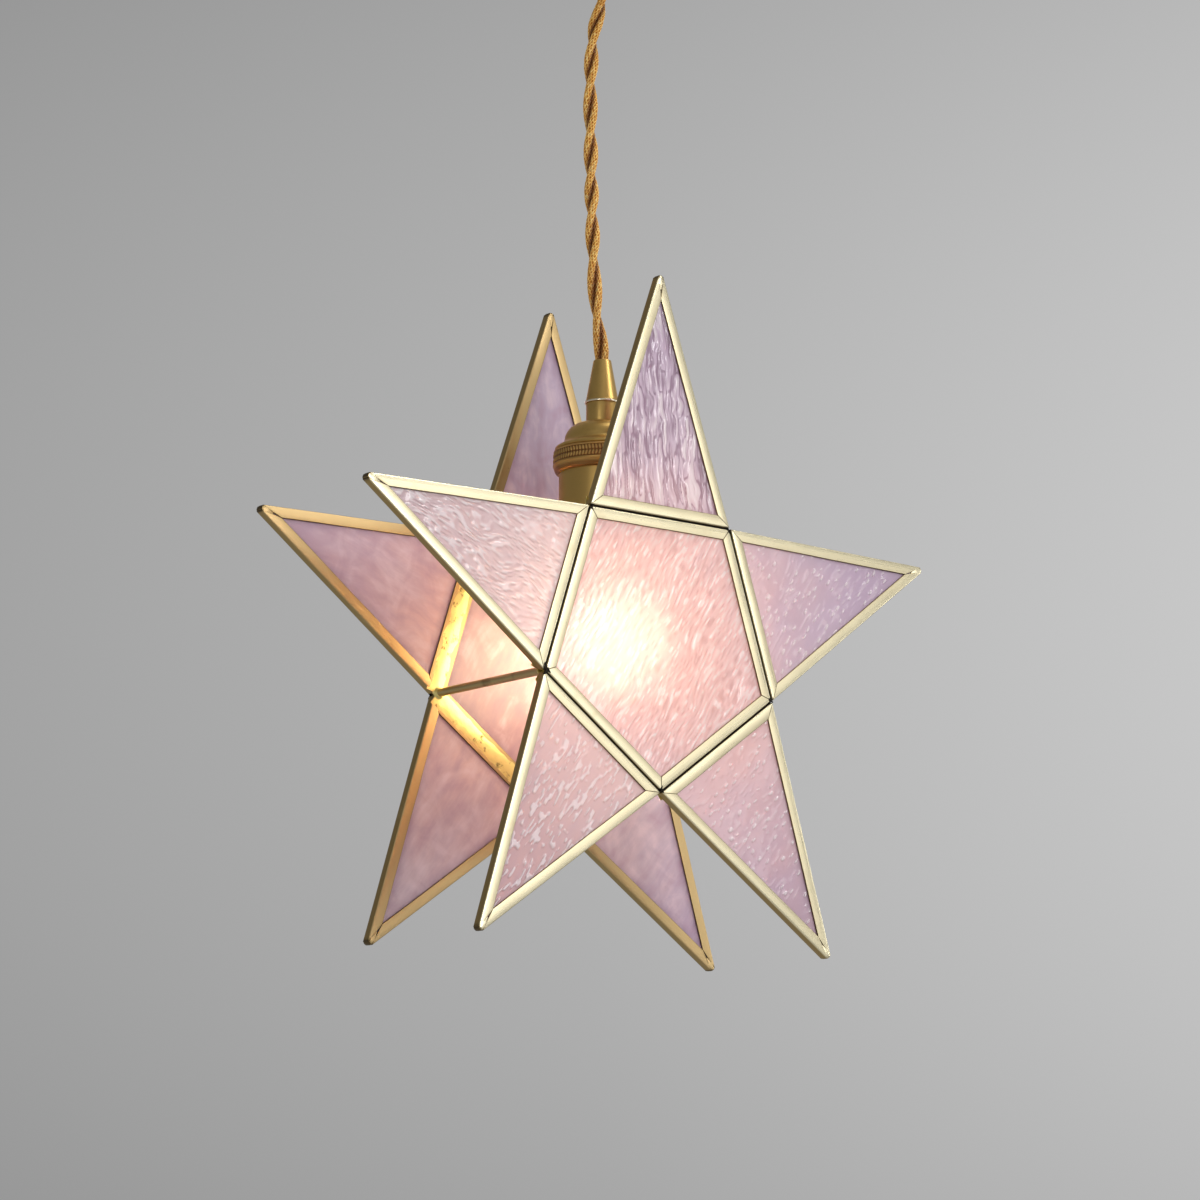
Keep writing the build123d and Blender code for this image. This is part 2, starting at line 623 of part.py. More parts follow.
def canopy():
    hole = GRIP_STEM_RADIUS + CANOPY_HOLE_CLEARANCE
    inside = CANOPY_RADIUS - CANOPY_WALL
    round_z = grip_top + CANOPY_CORNER
    flat = CANOPY_RADIUS - CANOPY_CORNER
    inner_corner = CANOPY_CORNER - CANOPY_WALL
    slant = sqrt(0.5)
    outer_middle = (flat + CANOPY_CORNER * slant, round_z - CANOPY_CORNER * slant)
    inner_middle = (flat + inner_corner * slant, round_z - inner_corner * slant)
    lines = [Polyline((flat, grip_top), (hole, grip_top), (hole, canopy_floor), (flat, canopy_floor)),
             ThreePointArc((flat, canopy_floor), inner_middle, (inside, round_z)),
             Polyline((inside, round_z), (inside, 0), (CANOPY_RADIUS, 0), (CANOPY_RADIUS, round_z)),
             ThreePointArc((CANOPY_RADIUS, round_z), outer_middle, (flat, grip_top))]
    cup = revolve(Plane.XZ * make_face(lines), Axis.Z)
    screw_hole = Cylinder(CANOPY_SCREW_RADIUS + CANOPY_SCREW_CLEARANCE, 2 * CANOPY_RADIUS + CANOPY_WALL)
    return cup - Pos(0, 0, -CANOPY_SCREW_DROP) * Rot(0, 90, 0) * screw_hole


def mounting_bracket():
    # A flat bar on the ceiling with an ear folded down at each end
    plate = Rectangle(bracket_length, BRACKET_WIDTH)
    for side in (-1, 1):
        slot_place = side * (bracket_length / 2 - SLOT_FROM_END)
        plate -= Pos(slot_place, 0) * SlotOverall(SLOT_LENGTH, 2 * SLOT_RADIUS)
    plate -= Pos(-MAINS_HOLE_OFFSET, 0) * Circle(MAINS_HOLE_RADIUS)
    bar = extrude(Plane.XY.offset(-BRACKET_THICKNESS) * plate, amount=BRACKET_THICKNESS)
    for side in (-1, 1):
        middle = side * (bracket_length - BRACKET_THICKNESS) / 2
        bar += Pos(middle, 0, -BRACKET_EAR / 2) * Box(BRACKET_THICKNESS, BRACKET_WIDTH, BRACKET_EAR)
    tapped = Cylinder(CANOPY_SCREW_RADIUS + THREAD_CLEARANCE, bracket_length + BRACKET_THICKNESS)
    return bar - Pos(0, 0, -CANOPY_SCREW_DROP) * Rot(0, 90, 0) * tapped


def canopy_screw(side):
    tip = bracket_length / 2 - BRACKET_THICKNESS - CANOPY_SCREW_PAST
    shank_length = CANOPY_RADIUS - tip
    shank = Rot(0, 90, 0) * Cylinder(CANOPY_SCREW_RADIUS, shank_length)
    head = Rot(0, 90, 0) * Cylinder(CANOPY_SCREW_HEAD_RADIUS, CANOPY_SCREW_HEAD_HEIGHT)
    head_middle = CANOPY_RADIUS + CANOPY_SCREW_HEAD_HEIGHT / 2
    screw = Pos(tip + shank_length / 2, 0, 0) * shank + Pos(head_middle, 0, 0) * head
    return Rot(0, 0, 90 - 90 * side) * Pos(0, 0, -CANOPY_SCREW_DROP) * screw


parts["canopy"] = [canopy()]
parts["mounting_bracket"] = [mounting_bracket()]
parts["canopy_screws"] = [canopy_screw(side) for side in (-1, 1)]


# Terminal block under the bracket, and the cord's two cores that run to it

def terminal_block():
    block = Pos(BLOCK_OFFSET, 0, -BRACKET_THICKNESS - BLOCK_SIZE[2] / 2) * Box(*BLOCK_SIZE)
    hole = Cylinder(LEAD_RADIUS + LEAD_CLEARANCE, 2 * LEAD_IN_BLOCK)
    for side in (-1, 1):
        block -= Pos(BLOCK_OFFSET - BLOCK_SIZE[0] / 2, side * LEAD_SPREAD, lead_height) * Rot(0, 90, 0) * hole
    return block


parts["terminal_block"] = [terminal_block()]
parts["terminal_screws"] = []
parts["ceiling_leads"] = []
for side in (-1, 1):
    place = BLOCK_OFFSET + side * (BLOCK_SIZE[0] / 2 - BLOCK_SCREW_FROM_END)
    head = Cylinder(BLOCK_SCREW_RADIUS, BLOCK_SCREW_HEIGHT)
    parts["terminal_screws"].append(Pos(place, 0, block_under - BLOCK_SCREW_HEIGHT / 2) * head)
    lead_end = BLOCK_OFFSET - BLOCK_SIZE[0] / 2 + LEAD_IN_BLOCK
    route = [(0, side * LEAD_SPREAD, grip_pivot + CORD_RADIUS + SEAT_CLEARANCE),
             (0, side * LEAD_SPREAD, lead_height),
             (lead_end, side * LEAD_SPREAD, lead_height)]
    parts["ceiling_leads"].append(lead(LEAD_RADIUS, route, LEAD_BEND))


for name, pieces in parts.items():
    solids = [solid for piece in pieces for solid in piece.solids()]
    shape = solids[0] if len(solids) == 1 else Compound(solids)
    export_step(shape, f"parts/{name}.step")
print(f"{len(parts)} nodes")
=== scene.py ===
# Looks of the pendant lamp: two rose glass stars in brass channel on a twisted textile cord.
# Metres, the same frame as the solids: the ceiling is z = 0 and the front star faces -Y.
# Sizes of pieces in the dictionaries are in mm where nothing else is said, those of camera and studio in metres.
import math

import bpy
import numpy as np
from mathutils import Matrix, Vector


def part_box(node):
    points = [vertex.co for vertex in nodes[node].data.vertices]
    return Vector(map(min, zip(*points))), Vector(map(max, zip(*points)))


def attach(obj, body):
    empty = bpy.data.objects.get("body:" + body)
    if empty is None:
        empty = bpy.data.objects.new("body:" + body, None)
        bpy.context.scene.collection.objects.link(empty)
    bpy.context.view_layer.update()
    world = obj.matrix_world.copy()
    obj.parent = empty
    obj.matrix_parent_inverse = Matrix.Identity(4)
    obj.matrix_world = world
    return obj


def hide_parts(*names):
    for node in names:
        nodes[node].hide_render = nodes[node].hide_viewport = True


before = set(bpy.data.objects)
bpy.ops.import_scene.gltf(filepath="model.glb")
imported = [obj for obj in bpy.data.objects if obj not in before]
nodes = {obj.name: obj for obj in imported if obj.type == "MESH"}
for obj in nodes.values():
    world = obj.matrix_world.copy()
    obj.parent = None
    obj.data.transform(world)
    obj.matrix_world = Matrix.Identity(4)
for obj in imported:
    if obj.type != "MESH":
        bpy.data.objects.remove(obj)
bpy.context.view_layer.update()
mm = 0.001
print("frame:", len(nodes), "nodes")


# Shared mesh code

def gridQuads(rows, columns, closedRows=False, closedColumns=False, first=0):
    # quads of a grid whose point (i, j) has the number first + i * columns + j
    i = np.arange(rows if closedRows else rows - 1)[:, None]
    j = np.arange(columns if closedColumns else columns - 1)[None, :]
    below, right = (i + 1) % rows, (j + 1) % columns
    corners = [i * columns + j, i * columns + right, below * columns + right, below * columns + j]
    return first + np.stack([np.broadcast_to(c, (len(i), j.shape[1])) for c in corners], -1).reshape(-1, 4)


def cappedTube(rows, columns):
    # rows that run round a tube, and fans from its ends to the two points after the grid's
    ring, last, total = np.arange(columns), (rows - 1) * columns, rows * columns
    after = (ring + 1) % columns
    fans = [np.stack([np.full(columns, total), after, ring], 1),
            np.stack([np.full(columns, total + 1), last + ring, last + after], 1)]
    return [gridQuads(rows, columns, False, True), np.concatenate(fans)]


def pairs(first, second, shape):
    # one (first, second) row for each point of a grid
    return np.stack([np.broadcast_to(first, shape), np.broadcast_to(second, shape)], -1).reshape(-1, 2)


def upright(flat, y):
    # points from their (x, z) and their y
    return np.stack([flat[..., 0], np.broadcast_to(y, flat.shape[:-1]), flat[..., 1]], -1).reshape(-1, 3)


def fullTurn(count):
    return np.linspace(0, 2 * np.pi, count, endpoint=False)


def runLength(line):
    # the way gone along a line, at each of its points
    return np.concatenate([[0], np.cumsum(np.linalg.norm(np.diff(line, axis=0), axis=1))])


def addObject(name, data):
    made = bpy.data.objects.new(name, data)
    bpy.context.scene.collection.objects.link(made)
    return made


def outwards(points, faces):
    # turns all faces round where the closed mesh has a negative volume: the sum of a . (b x c) over its triangles
    volume = 0.0
    for side in faces:
        for k in range(1, side.shape[1] - 1):
            a, b, c = points[side[:, 0]], points[side[:, k]], points[side[:, k + 1]]
            volume += np.einsum("ij,ij->", a, np.cross(b, c))
    return faces if volume > 0 else [side[:, ::-1] for side in faces]


def makePiece(name, points, faces, material, body, replaces=(), sharp=40, uv=None, marks=None):
    # one mesh from point and face arrays; uv and marks hold a value for each point
    points = np.asarray(points, float)
    faces = outwards(points, [np.asarray(side) for side in faces if len(side)])
    mesh = bpy.data.meshes.new(name)
    corners = np.concatenate([side.ravel() for side in faces]).astype(np.int32)
    sizes = np.concatenate([np.full(len(side), side.shape[1]) for side in faces]).astype(np.int32)
    mesh.vertices.add(len(points))
    mesh.vertices.foreach_set("co", points.astype(np.float32).ravel())
    mesh.loops.add(len(corners))
    mesh.loops.foreach_set("vertex_index", corners)
    mesh.polygons.add(len(sizes))
    mesh.polygons.foreach_set("loop_start", np.concatenate([[0], np.cumsum(sizes)[:-1]]).astype(np.int32))
    mesh.update(calc_edges=True)
    mesh.validate()
    mesh.shade_smooth()
    mesh.set_sharp_from_angle(angle=math.radians(sharp))
    if uv is not None:
        layer = mesh.uv_layers.new(name="grain")
        layer.data.foreach_set("uv", np.asarray(uv, np.float32)[corners].ravel())
    for label, values in (marks or {}).items():
        mesh.attributes.new(label, "FLOAT", "POINT").data.foreach_set("value", np.asarray(values, np.float32).ravel())
    mesh.materials.append(material)
    piece = addObject(name, mesh)
    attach(piece, body)
    if replaces:
        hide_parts(*replaces)
    return piece


def joined(parts):
    # several (points, faces, uv) parts as one
    points, faces, uv, first = [], [], [], 0
    for part in parts:
        points.append(part[0])
        faces += [np.asarray(side) + first for side in part[1]]
        uv.append(part[2] if len(part) > 2 else np.zeros((len(part[0]), 2)))
        first += len(part[0])
    return np.concatenate(points), faces, np.concatenate(uv)


def softNoise(x, y, seed):
    # value noise from 0 to 1: random values on a unit lattice, eased between by 3t^2 - 2t^3
    size = 256
    table = np.random.default_rng(seed).random((size, size))
    i, j = np.floor(x).astype(int), np.floor(y).astype(int)
    u, v = x - i, y - j
    u, v = u * u * (3 - 2 * u), v * v * (3 - 2 * v)
    i0, i1, j0, j1 = i % size, (i + 1) % size, j % size, (j + 1) % size
    low = table[i0, j0] * (1 - u) + table[i1, j0] * u
    high = table[i0, j1] * (1 - u) + table[i1, j1] * u
    return low * (1 - v) + high * v


def smoothStep(value, start, end):
    t = np.clip((value - start) / (end - start), 0, 1)
    return t * t * (3 - 2 * t)


def roundedPath(corners, radii, steps=5):
    # a line through corners, with an arc of the given radius at each inner one
    corners = np.asarray(corners, float)
    path = [corners[:1]]
    for before, corner, after, radius in zip(corners[:-2], corners[1:-1], corners[2:], radii):
        a, b = before - corner, after - corner
        a, b = a / np.linalg.norm(a), b / np.linalg.norm(b)
        half = math.acos(np.clip(a @ b, -1, 1)) / 2
        middle = corner + (a + b) / np.linalg.norm(a + b) * radius / math.sin(half)
        start, end = corner + a * radius / math.tan(half), corner + b * radius / math.tan(half)
        turn = (np.linspace(0, 1, steps) * (math.pi - 2 * half))[:, None]
        across = (end - middle) - ((end - middle) @ (start - middle)) / radius ** 2 * (start - middle)
        across *= radius / np.linalg.norm(across)
        path.append(middle + np.cos(turn) * (start - middle) + np.sin(turn) * across)
    path.append(corners[-1:])
    return np.concatenate(path)


def roundedLoop(corners, radii, steps=5):
    # a closed outline with an arc at every corner
    corners = np.asarray(corners, float)
    closed = np.concatenate([corners[-1:], corners, corners[:1]])
    return roundedPath(closed, radii, steps)[1:-1]


def turnedLoop(profile, segments, swell=None):
    # a closed (radius, height) outline turned round the cord's axis; swell(angle, radius, height) adds to the radius
    angle, shape = fullTurn(segments)[:, None], (segments, len(profile))
    radius, height = profile[None, :, 0], profile[None, :, 1]
    if swell is not None:
        radius = radius + swell(angle, radius, height)
    radius = np.broadcast_to(radius, shape)
    points = np.stack([radius * np.cos(angle), radius * np.sin(angle), np.broadcast_to(height, shape)], -1)
    uv = pairs(angle * profile[:, 0].max(), runLength(profile), shape)
    return points.reshape(-1, 3), [gridQuads(*shape, True, True)], uv


def makeTurned(name, outline, material, body, replaces, segments, swell=None, sharp=40, marks=None):
    # a piece from a closed (radius, height) outline in mm
    points, faces, uv = turnedLoop(np.asarray(outline) * mm, segments, swell)
    makePiece(name, points, faces, material, body, replaces, sharp, uv, marks)


def nodeHeights(node):
    low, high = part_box(node)
    return low.z / mm, high.z / mm


# Camera at the photograph's view

view = {
    "starDrop": 0.336,                       # ceiling to the middle of the stars
    "place": (-0.9168, -1.1565, -0.2656),    # from the middle of the stars
    "yaw": 38.378, "pitch": 11.033, "roll": 0.16,
    "lens": 107.89, "sensor": 36.0,
}


def viewAxes():
    yaw, pitch, roll = (math.radians(view[k]) for k in ("yaw", "pitch", "roll"))
    forward = Vector((math.sin(yaw) * math.cos(pitch), math.cos(yaw) * math.cos(pitch), math.sin(pitch)))
    right = forward.cross(Vector((0, 0, 1))).normalized()
    up = right.cross(forward)
    return (math.cos(roll) * right + math.sin(roll) * up, math.cos(roll) * up - math.sin(roll) * right, forward)


def makeCamera():
    right, up, forward = viewAxes()
    camera = addObject("photoCamera", bpy.data.cameras.new("photoCamera"))
    camera.data.lens = view["lens"]
    camera.data.sensor_width = view["sensor"]
    camera.data.clip_start = 0.01
    turn = Matrix((right, up, -forward)).transposed().to_4x4()
    camera.matrix_world = Matrix.Translation(Vector(view["place"]) - Vector((0, 0, view["starDrop"]))) @ turn
    bpy.context.scene.camera = camera


makeCamera()
bpy.context.scene.view_settings.view_transform = "Standard"
print("camera: set")


# Node code that the materials share

class Output:
    # a node's output; sums, products and ranges of it are further nodes of its tree
    def __init__(self, tree, socket):
        self.tree, self.socket = tree, socket

    def calc(self, operation, other=0.0, clamp=False):
        return put(self.tree, "Math", {0: self, 1: other}, operation=operation, use_clamp=clamp)

    def __add__(self, other):
        return self.calc("ADD", other)

    def __sub__(self, other):
        return self.calc("SUBTRACT", other)

    def __mul__(self, other):
        return self.calc("MULTIPLY", other)

    def __truediv__(self, other):
        return self.calc("DIVIDE", other)

    def __abs__(self):
        return self.calc("ABSOLUTE")

    def ranged(self, low, high, start=0.0, end=1.0, smooth=False):
        return put(self.tree, "MapRange", {0: self, 1: low, 2: high, 3: start, 4: end},
                   interpolation_type="SMOOTHSTEP" if smooth else "LINEAR")

    def axis(self, number):
        return put(self.tree, "SeparateXYZ", {0: self}, number)

    def mixed(self, a, b):
        # this share of the colour b over the colour a
        a, b = ((*colour, 1.0) if isinstance(colour, tuple) else colour for colour in (a, b))
        return put(self.tree, "Mix", {0: self, 6: a, 7: b}, 2, data_type="RGBA")

    def covered(self, *layers):
        # this colour under layers, each a share and a colour
        colour = self
        for share, cover in layers:
            colour = share.mixed(colour, cover)
        return colour

    def ramp(self, stops):
        # a colour by (position, colour) stops from 0 to 1
        node = self.tree.nodes.new("ShaderNodeValToRGB")
        self.tree.links.new(self.socket, node.inputs[0])
        elements = node.color_ramp.elements
        for element, (position, colour) in zip(elements, (stops[0], stops[-1])):
            element.position, element.color = position, (*colour, 1)
        for position, colour in stops[1:-1]:
            elements.new(position).color = (*colour, 1)
        return Output(self.tree, node.outputs[0])


def put(tree, kind, inputs=None, output=0, **settings):
    # a new shader node's output; its inputs take values or other outputs
    node = tree.nodes.new("ShaderNode" + kind)
    for key, value in settings.items():
        setattr(node, key, value)
    for socket, value in (inputs or {}).items():
        if isinstance(value, Output):
            tree.links.new(value.socket, node.inputs[socket])
        else:
            node.inputs[socket].default_value = value
    return Output(tree, node.outputs[output])


def objectPlace(tree):
    return put(tree, "TexCoord", output="Object")


def grainPlace(tree):
    return put(tree, "UVMap", uv_map="grain")


def mark(tree, name):
    return put(tree, "Attribute", output="Fac", attribute_name=name)


def lightPath(tree, name):
    return put(tree, "LightPath", output=name)


def cloudy(tree, scale, detail, **more):
    return put(tree, "TexNoise", {"Vector": objectPlace(tree), "Scale": scale, "Detail": detail, **more})


def newGroup(name, inputs, output):
    # a node group: inputs are (name, kind, value); gives the tree, its inputs by name and its one output's socket
    group = bpy.data.node_groups.new(name, "ShaderNodeTree")
    for socket, kind, value in inputs:
        made = group.interface.new_socket(socket, in_out="INPUT", socket_type="NodeSocket" + kind)
        if value is not None:
            made.default_value = value
    group.interface.new_socket(output, in_out="OUTPUT", socket_type="NodeSocketFloat")
    start, end = group.nodes.new("NodeGroupInput"), group.nodes.new("NodeGroupOutput")
    return group, {key: Output(group, start.outputs[key]) for key, _, _ in inputs}, end.inputs[output]


def makeBrushLines():
    # fine lines drawn along the first coordinate
    tree, given, end = newGroup("brushLines", [("Vector", "Vector", None), ("Along", "Float", 40.0),
                                               ("Across", "Float", 3000.0)], "Lines")
    scale = put(tree, "CombineXYZ", {0: given["Along"], 1: given["Across"], 2: 1.0})
    moved = put(tree, "VectorMath", {0: given["Vector"], 1: scale}, operation="MULTIPLY")
    lines = put(tree, "TexNoise", {"Vector": moved, "Scale": 1.0, "Detail": 3.0, "Roughness": 0.6})
    tree.links.new(lines.socket, end)
    return tree


def makeBlotches():
    # a soft mask of patches, from none to Amount
    tree, given, end = newGroup("ageBlotches", [("Vector", "Vector", None), ("Scale", "Float", 120.0),
                                                ("Cover", "Float", 0.5), ("Amount", "Float", 1.0)], "Mask")
    noise = put(tree, "TexNoise", {"Vector": given["Vector"], "Scale": given["Scale"], "Detail": 5.0,
                                   "Roughness": 0.65})
    edge = given["Cover"] * -0.5 + 0.75
    tree.links.new((noise.ranged(edge, edge + 0.16, smooth=True) * given["Amount"]).socket, end)
    return tree


brushLines, ageBlotches = makeBrushLines(), makeBlotches()


def brushed(tree, along, across, place=None):
    inputs = {"Vector": place or grainPlace(tree), "Along": along, "Across": across}
    return put(tree, "Group", inputs, node_tree=brushLines)


def aged(tree, scale, cover, amount=1.0):
    inputs = {"Vector": objectPlace(tree), "Scale": scale, "Cover": cover, "Amount": amount}
    return put(tree, "Group", inputs, node_tree=ageBlotches)


def shaderSockets(shader):
    # the shader's inputs, with spaces left out of their names
    return {socket.name.replace(" ", ""): socket for socket in shader.inputs}


def newMaterial(name, **sockets):
    # sockets are the shader's constant values
    material = bpy.data.materials.new(name)
    material.use_nodes = True
    shader = material.node_tree.nodes["Principled BSDF"]
    for key, value in sockets.items():
        shaderSockets(shader)[key].default_value = (*value, 1.0) if isinstance(value, tuple) else value
    return material, material.node_tree, shader


def feed(shader, **outputs):
    for key, output in outputs.items():
        output.tree.links.new(output.socket, shaderSockets(shader)[key])


def addBump(shader, height, strength, distance):
    feed(shader, Normal=put(height.tree, "Bump", {"Height": height, "Strength": strength, "Distance": distance}))


def metalMaterial(name, pale, deep, rough, lines, age, grain=True, bump=0.05, streak=0.22, paintedShade=None):
    # brushed and aged metal: lines vary the roughness, blotches the colour
    material, tree, shader = newMaterial(name, Metallic=1.0)
    drawn = brushed(tree, *lines, None if grain else objectPlace(tree))
    worn = aged(tree, *age)
    colour = worn.mixed(pale, deep).covered((drawn * streak, deep))
    # an optional painted shade, laid on where the piece's mark says
    if paintedShade:
        colour = mark(tree, "paintedShade").mixed(colour, paintedShade)
    feed(shader, BaseColor=colour, Roughness=drawn.ranged(0.25, 0.75, rough - 0.07, rough + 0.09) + worn * 0.12)
    addBump(shader, drawn, bump, 0.0002)
    return material


def plainMaterial(name, colour, second, rough, scale=200.0, bump=0.08, **sockets):
    # two close colours and a roughness that follow one noise
    material, tree, shader = newMaterial(name, **sockets)
    noise = cloudy(tree, scale, 4.0)
    feed(shader, BaseColor=noise.mixed(colour, second), Roughness=noise.ranged(0.3, 0.7, rough - 0.06, rough + 0.06))
    addBump(shader, noise, bump, 0.0002)
    return material


# Cord: two textile-covered cores laid round each other

cordLook = {
    # the route's points, drawn aside as in the photograph
    "points": [(0, 0, -216.68), (0, 0, -206.0), (-2.6, 2.0, -186.0), (-4.0, 3.2, -130.0), (-4.4, 3.5, -68.0),
               (0, 0, -50.0), (0, 0, -42.0)],
    # strands: thickness of both, radius of one, room between, points round one, row spacing, rows that ease the twist
    "diameter": 5.9, "strand": 1.6, "spread": 0.2, "sides": 40, "step": 0.3, "soften": 41,
    # heights where one strand lies in front of the other, seen along this compass angle
    "crossings": [-217.0, -190.9, -165.3, -145.4, -128.5, -109.3, -87.2, -69.2, -51.0, -33.0], "facing": 51.6,
    # braid: threads each way, their rise per turn, relief, share of it that lies under the skin
    "braidCount": 7, "braidPitch": 2.7, "braidHeight": 0.22, "braidSink": 0.8,
    # in the gland the strands lie this much closer, from the first height to the second
    "squeeze": 0.3, "squeezed": (-53.0, -46.0),
    # painted shade: the side of a strand turned to the other strand is darkened
    "strandShade": (-0.35, 0.75),   # where a strand's side counts as turned to the other strand
    # colours: painted shade between the threads and the threads' own colour on them, dark fibres, bright fibres as
    # painted highlights, patches, and painted shade between the strands
    "low": (0.48, 0.16, 0.014), "high": (0.97, 0.58, 0.13), "dark": (0.45, 0.14, 0.011), "bright": (1.0, 0.80, 0.36),
    "patch": (0.46, 0.17, 0.016), "groove": (0.15, 0.033, 0.003),
}


def cordLine():
    # points along the cord's own spline
    curve = bpy.data.curves.new("cordLine", "CURVE")
    curve.dimensions = "3D"
    spline = curve.splines.new("NURBS")
    spline.points.add(len(cordLook["points"]) - 1)
    for point, place in zip(spline.points, cordLook["points"]):
        point.co = (*(c * mm for c in place), 1.0)
    spline.order_u = 3
    spline.use_endpoint_u = True
    spline.resolution_u = 40
    carrier = addObject("cordLine", curve)
    drawn = bpy.data.meshes.new_from_object(carrier)
    line = np.zeros(len(drawn.vertices) * 3)
    drawn.vertices.foreach_get("co", line)
    bpy.data.objects.remove(carrier)
    return line.reshape(-1, 3)


def makeCord():
    # strand k's middle is line(s) + offset (cos, sin)(turn(z) + pi k); its skin rises where braid threads pass over
    line, sides = cordLine(), cordLook["sides"]
    gone = runLength(line)
    rows = int(gone[-1] / (cordLook["step"] * mm))
    s = np.linspace(0, gone[-1], rows)
    middle = np.stack([np.interp(s, gone, line[:, k]) for k in range(3)], 1)
    strand = cordLook["strand"] * mm
    squeeze = cordLook["squeeze"] * smoothStep(middle[:, 2] / mm, *cordLook["squeezed"])
    offset = cordLook["diameter"] * mm / 2 - strand + (cordLook["spread"] - squeeze) * mm
    knots = np.array(cordLook["crossings"]) * mm
    turned = math.radians(cordLook["facing"]) + np.interp(middle[:, 2], knots, np.pi * np.arange(len(knots)))
    soften = np.hanning(cordLook["soften"])
    longer = np.pad(turned - turned[0], cordLook["soften"] // 2, "reflect", reflect_type="odd")
    turned = turned[0] + np.convolve(longer, soften / soften.sum(), "valid")
    lean = np.arctan(np.gradient(turned, s) * offset)
    around = fullTurn(sides)
    run = s[:, None] / (cordLook["braidPitch"] * mm)
    over = [np.cos(cordLook["braidCount"] * around + way * 2 * np.pi * run) for way in (1, -1)]
    skin = strand + cordLook["braidHeight"] * mm * (np.maximum(*over) - cordLook["braidSink"])
    uv = np.concatenate([pairs(s[:, None], around / (2 * np.pi), skin.shape), [[0, 0], [s[-1], 0]]])
    parts = []
    for phase in (turned, turned + np.pi):
        out = np.stack([np.cos(phase), np.sin(phase), 0 * phase], 1)
        aside = np.stack([-np.sin(phase) * np.cos(lean), np.cos(phase) * np.cos(lean), -np.sin(lean)], 1)
        centre = middle + offset[:, None] * out
        ring = np.cos(around)[None, :, None] * out[:, None] + np.sin(around)[None, :, None] * aside[:, None]
        points = (centre[:, None] + skin[..., None] * ring).reshape(-1, 3)
        parts.append((np.concatenate([points, centre[:1], centre[-1:]]), cappedTube(rows, sides), uv))
    points, faces, uv = joined(parts)
    # painted shade on each strand's side that faces the other strand
    strandShade = np.concatenate([np.tile(smoothStep(-np.cos(around), *cordLook["strandShade"]), rows), [0, 0]])
    cord = makePiece("twistedCord", points, faces, cordTextile(), "hanging_cord", ["cord"], 60, uv,
                     {"strandShade": np.tile(strandShade, 2)})


def cordTextile():
    # braided threads: two crossing families of stripes, with painted shade between the threads, painted highlights on
    # bright fibres and painted shade where the strands face each other
    material, tree, shader = newMaterial("cordTextile", Roughness=0.42, SpecularIORLevel=0.3, SheenWeight=0.03,
                                         SheenRoughness=0.4, SheenTint=(1.0, 0.82, 0.5))
    run = grainPlace(tree).axis(0) / (cordLook["braidPitch"] * mm)
    around = grainPlace(tree).axis(1) * float(cordLook["braidCount"])
    one, other = ((phase * (2 * math.pi)).calc("COSINE") for phase in (around + run, around - run))
    ridge = one.calc("MAXIMUM", other).ranged(0.0, 0.95)
    fibres = brushed(tree, 450.0, 9.0)
    # painted shade between the threads, painted highlights on the bright fibres, painted shade where the strands face
    # each other
    feed(shader, BaseColor=ridge.mixed(cordLook["low"], cordLook["high"]).covered(
        (fibres.ranged(0.52, 0.30, 0.0, 0.6), cordLook["dark"]), (aged(tree, 160.0, 0.6) * 0.3, cordLook["patch"]),
        (fibres.ranged(0.52, 0.68, 0.0, 0.75), cordLook["bright"]), (mark(tree, "strandShade") * 0.9, cordLook["groove"])))
    addBump(shader, ridge + fibres * 0.5, 0.5, 0.0002)
    return material


makeCord()
print("cord: done")


# Star outlines, in (x, z)

star = {
    "tips": ["top", "upper_left", "lower_left", "lower_right", "upper_right"],
    "tipRadius": 157.5, "notchRadius": 63.0, "tipCut": 3.8,
    "slit": 0.9, "face": 4.6, "wall": 0.6, "glassPlay": 0.15, "glassNip": 5.0,
    "rodRadius": 1.7, "rodInset": 2.0,
}
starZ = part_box("front_frame_top")[1].z + (star["tipCut"] - star["tipRadius"]) * mm
starFaces = {face: (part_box(face + "_frame_centre")[0].y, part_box(face + "_frame_centre")[1].y)
             for face in ("front", "back")}


def polarPoint(radius, degrees):
    turn = math.radians(degrees)
    return np.array([radius * mm * math.cos(turn), starZ + radius * mm * math.sin(turn)])


def tipAngle(index):
    return 90 + 72 * index


def sideAxes(corners):
    along = np.roll(corners, -1, 0) - corners
    length = np.linalg.norm(along, axis=1)
    along = along / length[:, None]
    return along, np.stack([-along[:, 1], along[:, 0]], 1), length


def movedCorners(corners, depths):
    # each side moves inwards by its depth: a corner solves n . p = c for the sides before and after it
    _, inwards, _ = sideAxes(corners)
    offset = (inwards * corners).sum(1) + np.asarray(depths) * mm
    normals = np.stack([np.roll(inwards, 1, 0), inwards], 1)
    return np.linalg.solve(normals, np.stack([np.roll(offset, 1), offset], 1)[..., None])[..., 0]


def tipOutline(index):
    angle = tipAngle(index)
    corners = np.array([polarPoint(star["notchRadius"], angle - 36), polarPoint(star["tipRadius"], angle),
                        polarPoint(star["notchRadius"], angle + 36)])
    return movedCorners(corners, [0, 0, star["slit"] / 2])


def centreOutline():
    corners = np.array([polarPoint(star["notchRadius"], tipAngle(index) + 36) for index in range(5)])
    return movedCorners(corners, [star["slit"] / 2] * 5)


def tipCutPlane(index, short):
    # the square cut of a tip: its direction, and how far out it lies along that
    angle = math.radians(tipAngle(index))
    axis = np.array([math.cos(angle), math.sin(angle)])
    return axis, np.array([0, starZ]) @ axis + (star["tipRadius"] - short) * mm


# Channel frames: a rounded U profile carried along each side between its mitres

